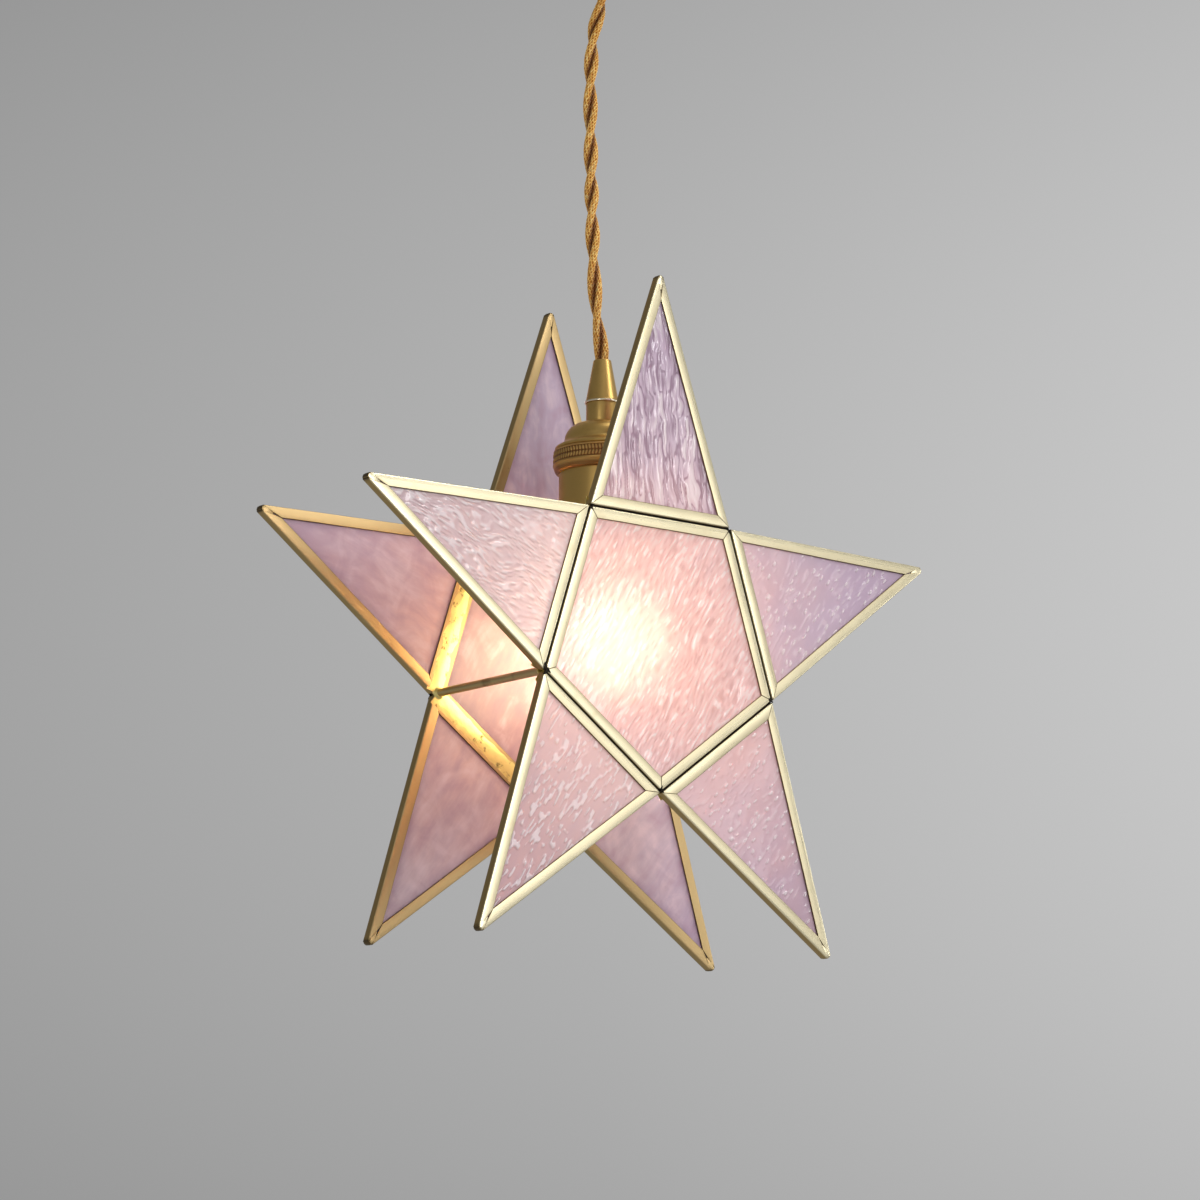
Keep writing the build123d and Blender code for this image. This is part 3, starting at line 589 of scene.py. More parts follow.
channel = {
    "outerRound": 0.52, "lipRound": 0.26, "innerRound": 0.2, "mitreGap": 0.07, "endRound": 0.22,
    # rows: their spacing and the distances of those near a strip's end; unevenness of the lip and of the skin
    "step": 2.5, "nearRows": [0.5, 1.0, 2.0, 3.5], "waver": 0.10, "dent": 0.05, "uvStep": 0.37,
    # colours: face; edge, darkened as painted shade; inside; wear; pits; and black joints and tips, with painted shade
    # at the lips
    "face": (0.86, 0.775, 0.53), "edge": (0.40, 0.28, 0.11), "inside": (0.62, 0.445, 0.215),
    "worn": (0.60, 0.48, 0.25), "pit": (0.16, 0.09, 0.03), "burnt": (0.10, 0.07, 0.035),
    # the solder drop in a tip: its reach short of the uncut point, points round it, power of its section
    "tipDrop": (3.3, 9.5), "dropSides": 28, "dropPower": 0.35,
    # how dark the lips are as painted shade, how black the tips are, and the tips that stay bright
    "lipBurn": 0.85, "tipBurn": 0.9, "brightBurn": 0.15,
    "brightTips": ["front_frame_lower_right", "front_frame_upper_right"],
}


def channelProfile(depth):
    # (inwards, across) points: the outer skin from lip to lip, then the inner skin back
    face, wall, half = star["face"], star["wall"], depth / mm / 2
    lip = half - wall / 2
    outer = roundedPath([(face, -lip), (face, -half), (0, -half), (0, half), (face, half), (face, lip)],
                        [channel["lipRound"], channel["outerRound"], channel["outerRound"], channel["lipRound"]])
    bed = half - wall
    inner = roundedPath([(face, -lip), (face, -bed), (wall, -bed), (wall, bed), (face, bed), (face, lip)],
                        [channel["lipRound"] / 2] + [channel["innerRound"]] * 2 + [channel["lipRound"] / 2])
    return np.concatenate([outer, inner[::-1]]) * mm


def shrunkProfile(profile, depth):
    # the profile with its skins drawn together, for rounded strip ends
    half = len(profile) // 2
    middle = (profile[:half] + profile[half:][::-1]) / 2
    middle = np.concatenate([middle, middle[::-1]])
    away = profile - middle
    size = np.linalg.norm(away, axis=1, keepdims=True)
    return profile - away / np.maximum(size, 1e-9) * np.minimum(size, depth * mm)


def lipShade(profile):
    return smoothStep(profile[:, 0], (star["face"] - 0.3) * mm, (star["face"] - 0.1) * mm)


def channelZones(profile, outward):
    # how far a profile point belongs to the polished face, kept pale while other points take the edge colour as painted
    # shade, and to the face on the bulb's side
    half = np.abs(profile[:, 1]).max()
    skin = (np.arange(len(profile)) < len(profile) // 2) * (1 - lipShade(profile))
    polishedLitFace = skin * smoothStep(outward * profile[:, 1], half - 0.5 * mm, half - 0.06 * mm)
    return polishedLitFace, skin * smoothStep(-outward * profile[:, 1], half - 0.6 * mm, half - 0.06 * mm)


def channelStrip(corner, along, inwards, length, halves, profile, yMiddle, cut, outward, seed, burn):
    # point (t, k) of a strip: corner + along * t + inwards * u_k, from one mitre, or the tip's cut, to the other
    u, count = profile[:, 0], len(profile)
    gap = channel["mitreGap"] * mm / 2
    low = u / math.tan(halves[0]) + gap / math.sin(halves[0])
    high = length - u / math.tan(halves[1]) - gap / math.sin(halves[1])
    if cut is not None:
        meets = (cut[1] - (corner + inwards * u[:, None]) @ cut[0]) / (along @ cut[0])
        low, high = (low, np.minimum(high, meets)) if along @ cut[0] > 0 else (np.maximum(low, meets), high)
    near = np.array([0, channel["endRound"], *channel["nearRows"]])[:, None] * mm
    rows = max(3, int(length / (channel["step"] * mm)))
    share = np.linspace(0, 1, rows + 2)[1:-1, None]
    t = np.concatenate([low + near, (low + near[-1]) * (1 - share) + (high - near[-1]) * share, high - near[::-1]])
    away = np.concatenate([near, np.full((rows, 1), 9 * mm), near[::-1]])
    ends = shrunkProfile(profile, channel["endRound"])
    skins = np.concatenate([ends[None], np.repeat(profile[None], len(t) - 2, 0), ends[None]])
    waver = (softNoise(t / 0.014, 0 * t + 0.5, seed) - 0.5) * 2 * channel["waver"] * mm
    dent = (softNoise(t / 0.011, u[None] / 0.003 + 7, seed + 1) - 0.5) * 2 * channel["dent"] * mm
    inner = skins[..., 0] + waver * (u / (star["face"] * mm))[None] ** 2
    across = skins[..., 1] + dent * np.sign(profile[:, 1])[None] * smoothStep(np.abs(profile[:, 1]), 0, 1 * mm)[None]
    flat = corner + along * t[..., None] + inwards * inner[..., None]
    uv = pairs(t + seed * channel["uvStep"], runLength(profile), t.shape)
    polishedLitFace, inside = channelZones(profile, outward)
    toTip = np.abs(meets - t) if cut is not None else np.full(t.shape, 1.0)
    toTip = toTip + 0.6 * mm * softNoise(t / 0.001, u[None] / 0.001, seed)
    undarkened = smoothStep(away, 0, 0.2 * mm) * (1 - burn * (1 - smoothStep(toTip, 0.4 * mm, 1.8 * mm)))
    # painted shade: the lips go dark where the frame meets the glass
    undarkened = undarkened * (1 - channel["lipBurn"] * lipShade(profile))
    zones = np.stack([polishedLitFace * undarkened, inside * undarkened, undarkened + 0 * u], -1)
    j = np.arange(count // 2 - 1)
    cap = np.stack([j, j + 1, count - 2 - j, count - 1 - j], 1)
    faces = [np.concatenate([gridQuads(len(t), count, False, True), cap, (len(t) - 1) * count + cap[:, ::-1]])]
    return upright(flat, yMiddle + across), faces, uv, zones.reshape(-1, 3)


def tipDrop(cut, half, yMiddle, depth, outward, seed, burn):
    # rounded sections (w |cos|^p, h |sin|^p) from the tip's end inwards, until they sink into the strips
    start, end = channel["tipDrop"]
    q = np.array([start, start, start + 0.12, start + 0.4, start + 0.9, 5.0, 6.0, 7.0, 8.0, end, end])[:, None]
    size = np.array([0, 0.5, 0.8, 0.95, 1, 1, 1, 1, 1, 1, 0])[:, None]
    wide = size * (q * math.tan(half) - 0.3 - 0.25 * smoothStep(q, 4.0, 5.0))
    tall = size * (depth / mm / 2 + 0.05 - 0.35 * smoothStep(q, 6.5, end))
    angle = fullTurn(channel["dropSides"])[None]
    aside, rise = (np.sign(wave) * np.abs(wave) ** channel["dropPower"] for wave in (np.cos(angle), np.sin(angle)))
    aside = wide * aside
    across = (tall + 0.06 * (softNoise(q / 1.2, 2 * np.cos(angle) + 4, seed) - 0.5)) * rise
    side = np.array([-cut[0][1], cut[0][0]])
    middle = np.array([0, starZ]) + cut[0] * ((star["tipRadius"] - q) * mm)[..., None]
    flat = middle + side * (aside * mm)[..., None]
    uv = pairs(q * mm + seed * channel["uvStep"], aside * mm, aside.shape)
    undarkened = 1 - burn * (1 - smoothStep(q + 0.8 * softNoise(q / 0.7, angle * 2, seed + 3), start + 0.5, start + 1.6))
    facing = outward * across / (depth / mm / 2)
    polishedLitFace, inside = (smoothStep(way * facing, 0.6, 0.9) * undarkened for way in (1, -1))
    zones = np.stack([polishedLitFace, inside, undarkened + 0 * facing], -1)
    return upright(flat, yMiddle + across * mm), [gridQuads(*aside.shape, False, True)], uv, zones.reshape(-1, 3)


def makeFrame(name, outline, ySpan, cut, outward, seed, material):
    along, inwards, length = sideAxes(outline)
    turn = np.arccos(np.clip(-(np.roll(along, 1, 0) * along).sum(1), -1, 1)) / 2   # half of each corner's angle
    profile = channelProfile(ySpan[1] - ySpan[0])
    burn = channel["brightBurn"] if name in channel["brightTips"] else channel["tipBurn"]
    strips = []
    for k in range(len(outline)):
        after = (k + 1) % len(outline)
        tipSide = cut if cut is not None and k < 2 else None
        strips.append(channelStrip(outline[k], along[k], inwards[k], length[k], (turn[k], turn[after]), profile,
                                   sum(ySpan) / 2, tipSide, outward, seed + 10 * k, burn))
    if cut is not None:
        strips.append(tipDrop(cut, turn[1], sum(ySpan) / 2, ySpan[1] - ySpan[0], outward, seed + 5, burn))
    points, faces, uv = joined(strips)
    polishedLitFace, inside, undarkened = np.concatenate([strip[3] for strip in strips]).T
    makePiece(name.replace("frame", "channel"), points, faces, material, "lamp", [name], 35, uv,
              {"polishedLitFace": polishedLitFace, "inside": inside, "undarkened": undarkened})


def frameBrass():
    # polished face, rougher outer edge darkened as painted shade, golden inside with small pits, blackened where strips
    # meet, and painted shade at the lips
    material, tree, shader = newMaterial("starBrass", Metallic=1.0)
    polishedLitFace, inside, undarkened = (mark(tree, name) for name in ("polishedLitFace", "inside", "undarkened"))
    drawn, worn = brushed(tree, 30.0, 2600.0), aged(tree, 75.0, 0.4, 0.5)
    pits = aged(tree, 420.0, 0.22, 0.8) * inside
    # painted shade: everything but the polished face takes the darker edge colour
    colour = polishedLitFace.mixed(channel["edge"], channel["face"]).covered(
        (inside, channel["inside"]), (worn * 0.5, channel["worn"]), (pits, channel["pit"]))
    rough = polishedLitFace.ranged(0.0, 1.0, 0.40, 0.28) + drawn.ranged(0.25, 0.75, -0.06, 0.08) + worn * 0.12
    feed(shader, BaseColor=undarkened.mixed(channel["burnt"], colour), Roughness=rough)
    addBump(shader, drawn - pits, 0.05, 0.0002)
    return material


def makeFrames():
    brass = frameBrass()
    for number, (face, ySpan) in enumerate(starFaces.items()):
        outward = -1.0 if face == "front" else 1.0
        for index, tip in enumerate(star["tips"]):
            makeFrame(f"{face}_frame_{tip}", tipOutline(index), ySpan, tipCutPlane(index, star["tipCut"]), outward,
                      100 * number + 7 * index, brass)
        makeFrame(f"{face}_frame_centre", centreOutline(), ySpan, None, outward, 100 * number + 61, brass)


makeFrames()
print("frames: done")


# Solder: seams in the slits between frames, black outside and golden inside, and fillets at the rods

seam = {
    # the stem in the slit and how far in it starts, the crown's width and height, shortening, row spacing
    "stem": 0.94, "sunk": 0.7, "width": 8.2, "crown": 0.24, "shorten": 0.6, "step": 0.8,
    # points across the crown, how far its rims lie under the face, least width, and unevenness of width and height
    "crownPoints": 13, "rim": 0.12, "narrow": 0.86, "swell": 0.28, "lift": 0.12,
    # at a rod's foot: radius, rise and points round it
    "fillet": 3.0, "filletRise": 1.5, "filletSides": 40,
    # at the notches: the drops' sizes, their rings as shares of the rim with two below, points round one
    "drops": [0.9, 1.5, 0.8, 1.0, 0.8], "dropRings": [0, 0.25, 0.5, 0.7, 0.85, 0.95, 1.0, 1.0, 0], "dropSides": 36,
    "gold": (0.88, 0.76, 0.30), "pit": (0.20, 0.11, 0.03), "black": (0.02, 0.016, 0.012),
    # metres from the middle of the lamp between which gold turns to black
    "patina": (0.0374, 0.0384),
}


def seamStrip(start, end, outerY, innerY, seed):
    # a T section: a stem in the slit and a low crown over both frames, which swells and thins along the seam
    inward, deep = np.sign(innerY - outerY), abs(innerY - outerY) / mm
    along = (end - start) / np.linalg.norm(end - start)
    side = np.array([-along[1], along[0]])
    length = np.linalg.norm(end - start) - 2 * seam["shorten"] * mm
    w, half, sunk, rim = np.linspace(-1, 1, seam["crownPoints"]), seam["stem"] / 2, seam["sunk"], seam["rim"]
    crown = np.stack([w * seam["width"] / 2, deep - rim + (seam["crown"] + rim) * (1 - w ** 2)], 1)
    stem = np.array([(half, deep - 0.2), (half, sunk + 0.1), (half - 0.1, sunk), (0.1 - half, sunk),
                     (-half, sunk + 0.1), (-half, deep - 0.2)])
    section = np.concatenate([crown, stem]) * mm
    rows, count = int(length / (seam["step"] * mm)), len(section)
    t = np.linspace(0, length, rows)[:, None] + seam["shorten"] * mm
    onCrown = (np.arange(count) < len(crown))[None]
    swell = np.where(onCrown, seam["narrow"] + seam["swell"] * softNoise(t / 0.004, 0 * t + 3, seed), 1.0)
    lift = seam["lift"] * mm * (softNoise(t / 0.0025, section[None, :, 0] / 0.002, seed + 1) - 0.5)
    lift = np.where(onCrown, lift, 0.0)
    flat = start + along * t[..., None] + side * (section[None, :, 0] * swell)[..., None]
    points = upright(flat, outerY + inward * (section[None, :, 1] + lift))
    uv = pairs(t, section[:, 0], (rows, count))
    ends = np.array([points[:count].mean(0), points[-count:].mean(0)])
    return np.vstack([points, ends]), cappedTube(rows, count), np.vstack([uv, uv[:1], uv[-1:]])


def roundRod(place, radius, angle, y):
    # points about an axis along y
    flat = np.stack([place[0] + radius * np.cos(angle), place[1] + radius * np.sin(angle)], -1)
    return upright(flat, y)


def rodFillet(place, outerY, innerY, seed):
    # a ring of solder round the rod's foot: a hollow-sided outline turned about the rod, with a lumpy rim
    inward, deep = np.sign(innerY - outerY), abs(innerY - outerY) / mm
    rod, foot, rise = star["rodRadius"], seam["fillet"], seam["filletRise"]
    profile = roundedLoop([(rod - 0.2, deep - 0.1), (foot, deep - 0.1), (foot - 0.4, deep + 0.22),
                           (rod + 0.5, deep + 0.65), (rod + 0.1, deep + rise), (rod - 0.2, deep + rise)],
                          [0.05, 0.05, 0.2, 0.5, 0.1, 0.05], 4)
    angle = fullTurn(seam["filletSides"])[:, None]
    lumps = softNoise(2.2 * np.cos(angle) + 5, 2.2 * np.sin(angle) + 5, seed) - 0.5
    radius = profile[None, :, 0] * (1 + 0.35 * lumps * smoothStep(profile[None, :, 0], rod + 0.2, foot)) * mm
    y = outerY + inward * profile[:, 1] * mm
    uv = pairs(angle * 2 * mm, y, radius.shape)
    return roundRod(place, radius, angle, y), [gridQuads(*radius.shape, True, True)], uv


def notchDrop(place, outerY, innerY, size, seed):
    # an uneven drop on the outer face, height 0.26 (1 - s^2) - 0.08 mm at the share s of its rim, closed below
    share = np.array(seam["dropRings"])[:, None]
    rise = np.where(np.arange(len(share))[:, None] < len(share) - 2, 0.26 * (1 - share ** 2) - 0.08, -0.6)
    angle = fullTurn(seam["dropSides"])[None]
    radius = size * share * (0.6 + 2.6 * softNoise(2.5 * np.cos(angle) + 5, 2.5 * np.sin(angle) + 5, seed) ** 2) * mm
    y = outerY - np.sign(innerY - outerY) * rise * mm
    return roundRod(place, radius, angle, y), [gridQuads(*radius.shape, False, True)]


def solderMetal():
    # black patina on the outer side of each star, golden on the bulb's side, with pits
    material, tree, shader = newMaterial("solder", Metallic=1.0)
    outside, pits = abs(objectPlace(tree).axis(1)).ranged(*seam["patina"]), aged(tree, 300.0, 0.42, 0.85)
    feed(shader, BaseColor=pits.mixed(seam["gold"], seam["pit"]).covered((outside, seam["black"])),
         Roughness=outside.ranged(0.0, 1.0, 0.36, 0.52) + pits * 0.2)
    addBump(shader, cloudy(tree, 700.0, 3.0) - pits, 0.25, 0.0003)
    return material


def makeSolder():
    metal = solderMetal()
    notches = [polarPoint(star["notchRadius"], tipAngle(index) + 36) for index in range(5)]
    for face, ySpan in starFaces.items():
        outerY, innerY = ySpan if face == "front" else ySpan[::-1]
        parts = []
        for index, notch in enumerate(notches):
            parts.append(seamStrip(notch, notches[(index + 1) % 5], outerY, innerY, 500 + 7 * index))
            rod = polarPoint(star["notchRadius"] - star["rodInset"], tipAngle(index) + 36)
            parts.append(rodFillet(rod, outerY, innerY, 540 + 5 * index))
            parts.append(notchDrop(rod * 0.6 + notch * 0.4, outerY, innerY, seam["drops"][index], 580 + 3 * index))
        points, faces, uv = joined(parts)
        makePiece(f"{face}_seams", points, faces, metal, "lamp", [f"{face}_solder"], 50, uv)


makeSolder()
print("solder: done")


# Glass panes: rippled outside, smooth inside

# the bulb's light for the panes' painted glow
bulbLight = {"centre": (0, 0, -0.3305), "near": 0.037}   # metres

pane = {
    "step": {"front": 0.34, "back": 0.5}, "centreStep": 1.18, "fadeStart": 3.6, "fadeEnd": 5.2,
    # for each pane: the grain's direction in degrees, the kind of ripple, its height,
    # how pale and how rosy the glass is, and how much deeper its tip is
    "ripple": {
        "top": (93, "streak", 0.46, 0.15, -0.65, 0.16), "upper_left": (-20, "swirl", 0.34, 0.68, 0.3, 0.06),
        "lower_left": (54, "dash", 0.42, 0.36, 0.5, 0.38), "lower_right": (48, "speck", 0.44, 0.06, 0.15, 0.25),
        "upper_right": (55, "speck", 0.50, 0.12, -0.4, 0.18), "centre": (58, "fine", 0.19, 0.09, 0.2, 0.0),
    },
    # for each pane of the back star: how pale, how rosy, and how much deeper its tip is
    "back": {"top": (0.04, -0.65, 0.0), "upper_left": (0.02, 0.05, 0.2), "lower_left": (0.12, 0.1, -0.2),
             "lower_right": (0.30, -0.32, 0.26), "upper_right": (-0.06, -0.2, 0.1), "centre": (-0.33, 0.4, 0.0)},
    "tipStart": 85.0, "tipEnd": 140.0,
    # for each kind: cell length and width, those of the broad relief, how far the grain bends, and how much the relief
    # paints shade and highlights into the colour
    "cells": {"streak": (9.0, 1.3, 20, 4.5, 1.5, 1.4), "swirl": (2.7, 0.82, 12, 5.0, 2.8, 1.0),
              "dash": (2.9, 0.95, 13, 6.0, 1.0, 1.0), "speck": (4.6, 3.4, 12, 8.0, 1.5, 1.0),
              "fine": (3.7, 0.82, 13, 6.0, 1.2, 0.8)},
    "speckReach": (0.42, 0.24), "growStart": 55.0, "growEnd": 115.0,
    # the smooth side: its rings as shares of the edge, sag, gloss, and the wisps' length and width
    "rings": [1.0, 0.86, 0.66, 0.46, 0.26, 0.1], "sag": 0.05, "innerGloss": 0.35, "wisp": (3.4, 2.6),
    # moves each pane's streaks apart from those of the others
    "uvStep": 0.13,
    "lavender": (0.62, 0.465, 0.62), "rose": (0.86, 0.545, 0.55), "milk": (0.96, 0.84, 0.83),
    "plum": (0.36, 0.21, 0.33), "stain": (0.50, 0.30, 0.42), "paleWisp": (1.0, 0.79, 0.86),
    # painted shade: the colours of the edge and of the hollows; painted highlight: the ridge colour
    "deepWisp": (0.50, 0.27, 0.40), "edge": (0.34, 0.16, 0.29), "lavenderHollow": (0.30, 0.17, 0.28),
    "roseHollow": (0.66, 0.31, 0.30), "ridge": (0.97, 0.90, 0.92),
    # painted light: the emission that stands for the bulb's light shining through, by the light that reaches the pane
    "glow": [(0.0, (0.0, 0.0, 0.0)), (0.03, (0.05, 0.027, 0.025)), (0.14, (0.15, 0.076, 0.052)),
             (0.40, (0.22, 0.127, 0.066)), (1.0, (0.26, 0.17, 0.08))],
}


def grains(along, across, reachAlong, reachAcross, seed):
    # one oval swelling for each cell of a shaken lattice: the highest of (1 - d^2)^1.5 over the nine nearest cells
    size = 256
    table = np.random.default_rng(seed).random((size, size, 4))
    i, j = np.floor(along).astype(int), np.floor(across).astype(int)
    high = np.zeros(along.shape)
    for cell in range(9):
        ci, cj = i + cell // 3 - 1, j + cell % 3 - 1
        shake = table[ci % size, cj % size]
        u = (along - ci - 0.15 - 0.7 * shake[..., 0]) / (reachAlong * (0.6 + 0.6 * shake[..., 2]))
        v = (across - cj - 0.15 - 0.7 * shake[..., 1]) / (reachAcross * (0.7 + 0.5 * shake[..., 3]))
        high = np.maximum(high, np.clip(1 - u * u - v * v, 0, 1) ** 1.5 * smoothStep(shake[..., 2], 0.2, 0.8))
    return high


def rippleHeight(x, z, name, seed):
    # relief, and painted shade and highlight, from about -1 to 1, along and across a bent grain: stretched noise, its
    # peaks, or oval grains
    degrees, kind, height = pane["ripple"][name][:3]
    length, width, broadLength, broadWidth, bend = (v * mm for v in pane["cells"][kind][:5])
    angle = math.radians(degrees)
    along = x * math.cos(angle) + (z - starZ) * math.sin(angle)
    across = (z - starZ) * math.cos(angle) - x * math.sin(angle)
    across = across + bend * (2 * softNoise(along / 0.014, across / 0.009, seed + 1) - 1)
    broad = softNoise(along / broadLength, across / broadWidth, seed + 2) - 0.5
    fine = softNoise(along / length, across / width, seed)
    grow = 0.5 + 0.6 * smoothStep(np.hypot(x, z - starZ), pane["growStart"] * mm, pane["growEnd"] * mm)
    if kind == "speck":
        peaks = smoothStep(grains(along / length, across / width, *pane["speckReach"], seed), 0.1, 0.85)
        strokes = smoothStep(softNoise(along / (0.8 * length), across / (0.3 * width), seed + 6), 0.6, 0.88)
        relief, shade = peaks + 0.2 * strokes + 0.2 * broad, 1.15 * peaks + 0.4 * strokes - 0.06
    elif kind == "streak":
        wiggle = 0.5 * mm * (2 * softNoise(along / 0.004, across / 0.006, seed + 4) - 1)
        fine = softNoise(along / length, (across + wiggle) / width, seed)
        small = softNoise(along / (0.55 * length), (across + wiggle) / (0.6 * width), seed + 3) - 0.5
        relief = 1.3 * (fine - 0.5) + 0.7 * small + 0.8 * broad
        # painted shade: the dark outlines of the streaks
        shade = 0.9 * relief - 0.8 * (1 - smoothStep(np.abs(fine - 0.47), 0.015, 0.09))   # dark outlines of the streaks
    elif kind == "dash":
        peaks = smoothStep(fine, 0.54, 0.80)
        relief, shade = 1.2 * peaks + 0.4 * broad, grow * (1.9 * peaks - 0.5)
    elif kind == "swirl":
        relief, shade = 1.5 * (fine - 0.5) + 0.5 * broad, grow * (1.8 * smoothStep(fine, 0.5, 0.92) - 0.32)
    else:
        strokes = smoothStep(softNoise(along / (1.2 * length), across / width, seed + 6), 0.62, 0.84)
        relief, shade = 1.5 * (fine - 0.5) + strokes + 0.5 * broad, 1.5 * (fine - 0.5) + 0.9 * strokes
    return relief * height * mm, shade * pane["cells"][kind][5], along / length, across / width


def edgeDistance(flat, corners):
    inwards = sideAxes(corners)[1]
    away = [(flat - corner) @ inward for corner, inward in zip(corners, inwards)]
    return np.min(away, axis=0)


def paneOutline(name):
    # the pane's corners in its channel, with the tip nipped off
    seat = star["wall"] + star["glassPlay"]
    if name == "centre":
        return movedCorners(centreOutline(), [seat] * 5)
    index = star["tips"].index(name)
    first, tip, last = movedCorners(tipOutline(index), [seat] * 3)
    axis, reach = tipCutPlane(index, star["tipCut"] + star["glassNip"])
    cuts = [start + (tip - start) * (reach - start @ axis) / ((tip - start) @ axis) for start in (first, last)]
    return np.array([first, cuts[0], cuts[1], last])


def panePatches(corners):
    # four-sided patches that fill the outline: one for a tip, a kite at each corner for the middle
    if len(corners) == 4:
        return [corners]
    halfway = (corners + np.roll(corners, -1, 0)) / 2
    return [np.array([np.roll(halfway, 1, 0)[k], corners[k], halfway[k], corners.mean(0)]) for k in range(len(corners))]


def patchGrid(patch, step):
    # point (i, j) = (1 - u)((1 - v) a + v d) + u ((1 - v) b + v c), for corners a, b, c, d
    a, b, c, d = patch
    rows = int(max(np.linalg.norm(b - a), np.linalg.norm(c - d)) / step) + 2
    columns = int(max(np.linalg.norm(d - a), np.linalg.norm(c - b)) / step) + 2
    u, v = np.linspace(0, 1, rows)[:, None, None], np.linspace(0, 1, columns)[None, :, None]
    points = (1 - u) * ((1 - v) * a + v * d) + u * ((1 - v) * b + v * c)
    number = np.arange(rows * columns).reshape(rows, columns)
    return points.reshape(-1, 2), gridQuads(rows, columns), number


def paneSheet(corners, step):
    # the patches as one sheet without doubled points, and the points of its edge in order
    points, quads, edges, first = [], [], [], 0
    patches = panePatches(corners)
    for patch in patches:
        flat, faces, number = patchGrid(patch, step)
        points.append(flat)
        quads.append(faces + first)
        sides = [number[:-1, 0], number[-1, :-1]] + ([] if len(patches) > 1 else [number[:0:-1, -1], number[0, :0:-1]])
        edges.append(np.concatenate(sides) + first)
        first += len(flat)
    points = np.concatenate(points)
    places = np.round(points / 1e-7).astype(np.int64)
    _, kept, number = np.unique(places, axis=0, return_index=True, return_inverse=True)
    number = number.ravel()
    return points[kept], number[np.concatenate(quads)], number[np.concatenate(edges)]


def makePane(face, name, seed, material):
    # a rippled sheet outside, and inside rings that run from the same edge to the middle
    low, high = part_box(f"{face}_glass_{name}")
    outer, inner, outward = (low.y, high.y, -1.0) if face == "front" else (high.y, low.y, 1.0)
    corners = paneOutline(name)
    flat, quads, edge = paneSheet(corners, pane["step"][face] * (pane["centreStep"] if name == "centre" else 1) * mm)
    relief, shade, along, across = rippleHeight(flat[:, 0], flat[:, 1], name, seed)
    ripple = relief * smoothStep(edgeDistance(flat, corners), pane["fadeStart"] * mm, pane["fadeEnd"] * mm)
    middle = corners.mean(0)
    share = np.array(pane["rings"])[:, None, None]
    rings = np.vstack([(middle + share * (flat[edge] - middle)).reshape(-1, 2), middle])
    sag = pane["sag"] * mm * (softNoise(rings[:, 0] / 0.02 + 9, rings[:, 1] / 0.02 + 9, seed + 5) - 0.5)
    first, count, columns = len(flat), len(share), len(edge)
    ring, last = np.arange(columns), first + (count - 1) * columns
    after = np.roll(ring, -1)
    rim = np.stack([edge, np.roll(edge, -1), first + after, first + ring], 1)
    hub = np.stack([last + ring, last + after, np.full(columns, first + count * columns)], 1)
    faces = [np.concatenate([quads, rim, gridQuads(count, columns, False, True, first)]), hub]
    points = np.vstack([upright(flat, outer + outward * ripple), upright(rings, inner + sag)])
    cell = pane["cells"][pane["ripple"][name][1]][:2]
    wisps = np.stack(rippleHeight(rings[:, 0], rings[:, 1], name, seed)[2:], 1) * cell / pane["wisp"]
    uv = np.vstack([np.stack([along, across], 1), wisps]) + seed * pane["uvStep"]
    every, none = np.vstack([flat, rings]), np.zeros(len(rings))
    outside = np.concatenate([np.ones(first), none])
    reach = np.linalg.norm(every - np.array([0, starZ]), axis=1) / mm
    pale, rosy, deeper = pane["ripple"][name][3:] if face == "front" else pane["back"][name]
    marks = {"ripple": np.concatenate([shade, none]), "rosy": np.full(len(every), rosy),
             "pale": pale - deeper * smoothStep(reach, pane["tipStart"], pane["tipEnd"]),
             "gloss": pane["innerGloss"] + (1 - pane["innerGloss"]) * outside,
             "near": edgeDistance(every, corners) / mm}
    makePiece(f"{face}_pane_{name}", points, faces, material, "lamp", [f"{face}_glass_{name}"],
              80, uv, marks)


def makeBulbGlow():
    # light that reaches a pane from the bulb, for the panes' painted glow: (near / distance)^2 times the cosine to the
    # pane
    tree, given, end = newGroup("bulbGlow", [("Vector", "Vector", None)], "Light")
    away = put(tree, "VectorMath", {0: given["Vector"], 1: bulbLight["centre"]}, operation="SUBTRACT")
    distance = put(tree, "VectorMath", {0: away}, "Value", operation="LENGTH")
    light = abs(away.axis(1)) * bulbLight["near"] ** 2 / distance.calc("POWER", 3.0)
    tree.links.new(light.socket, end)
    return tree


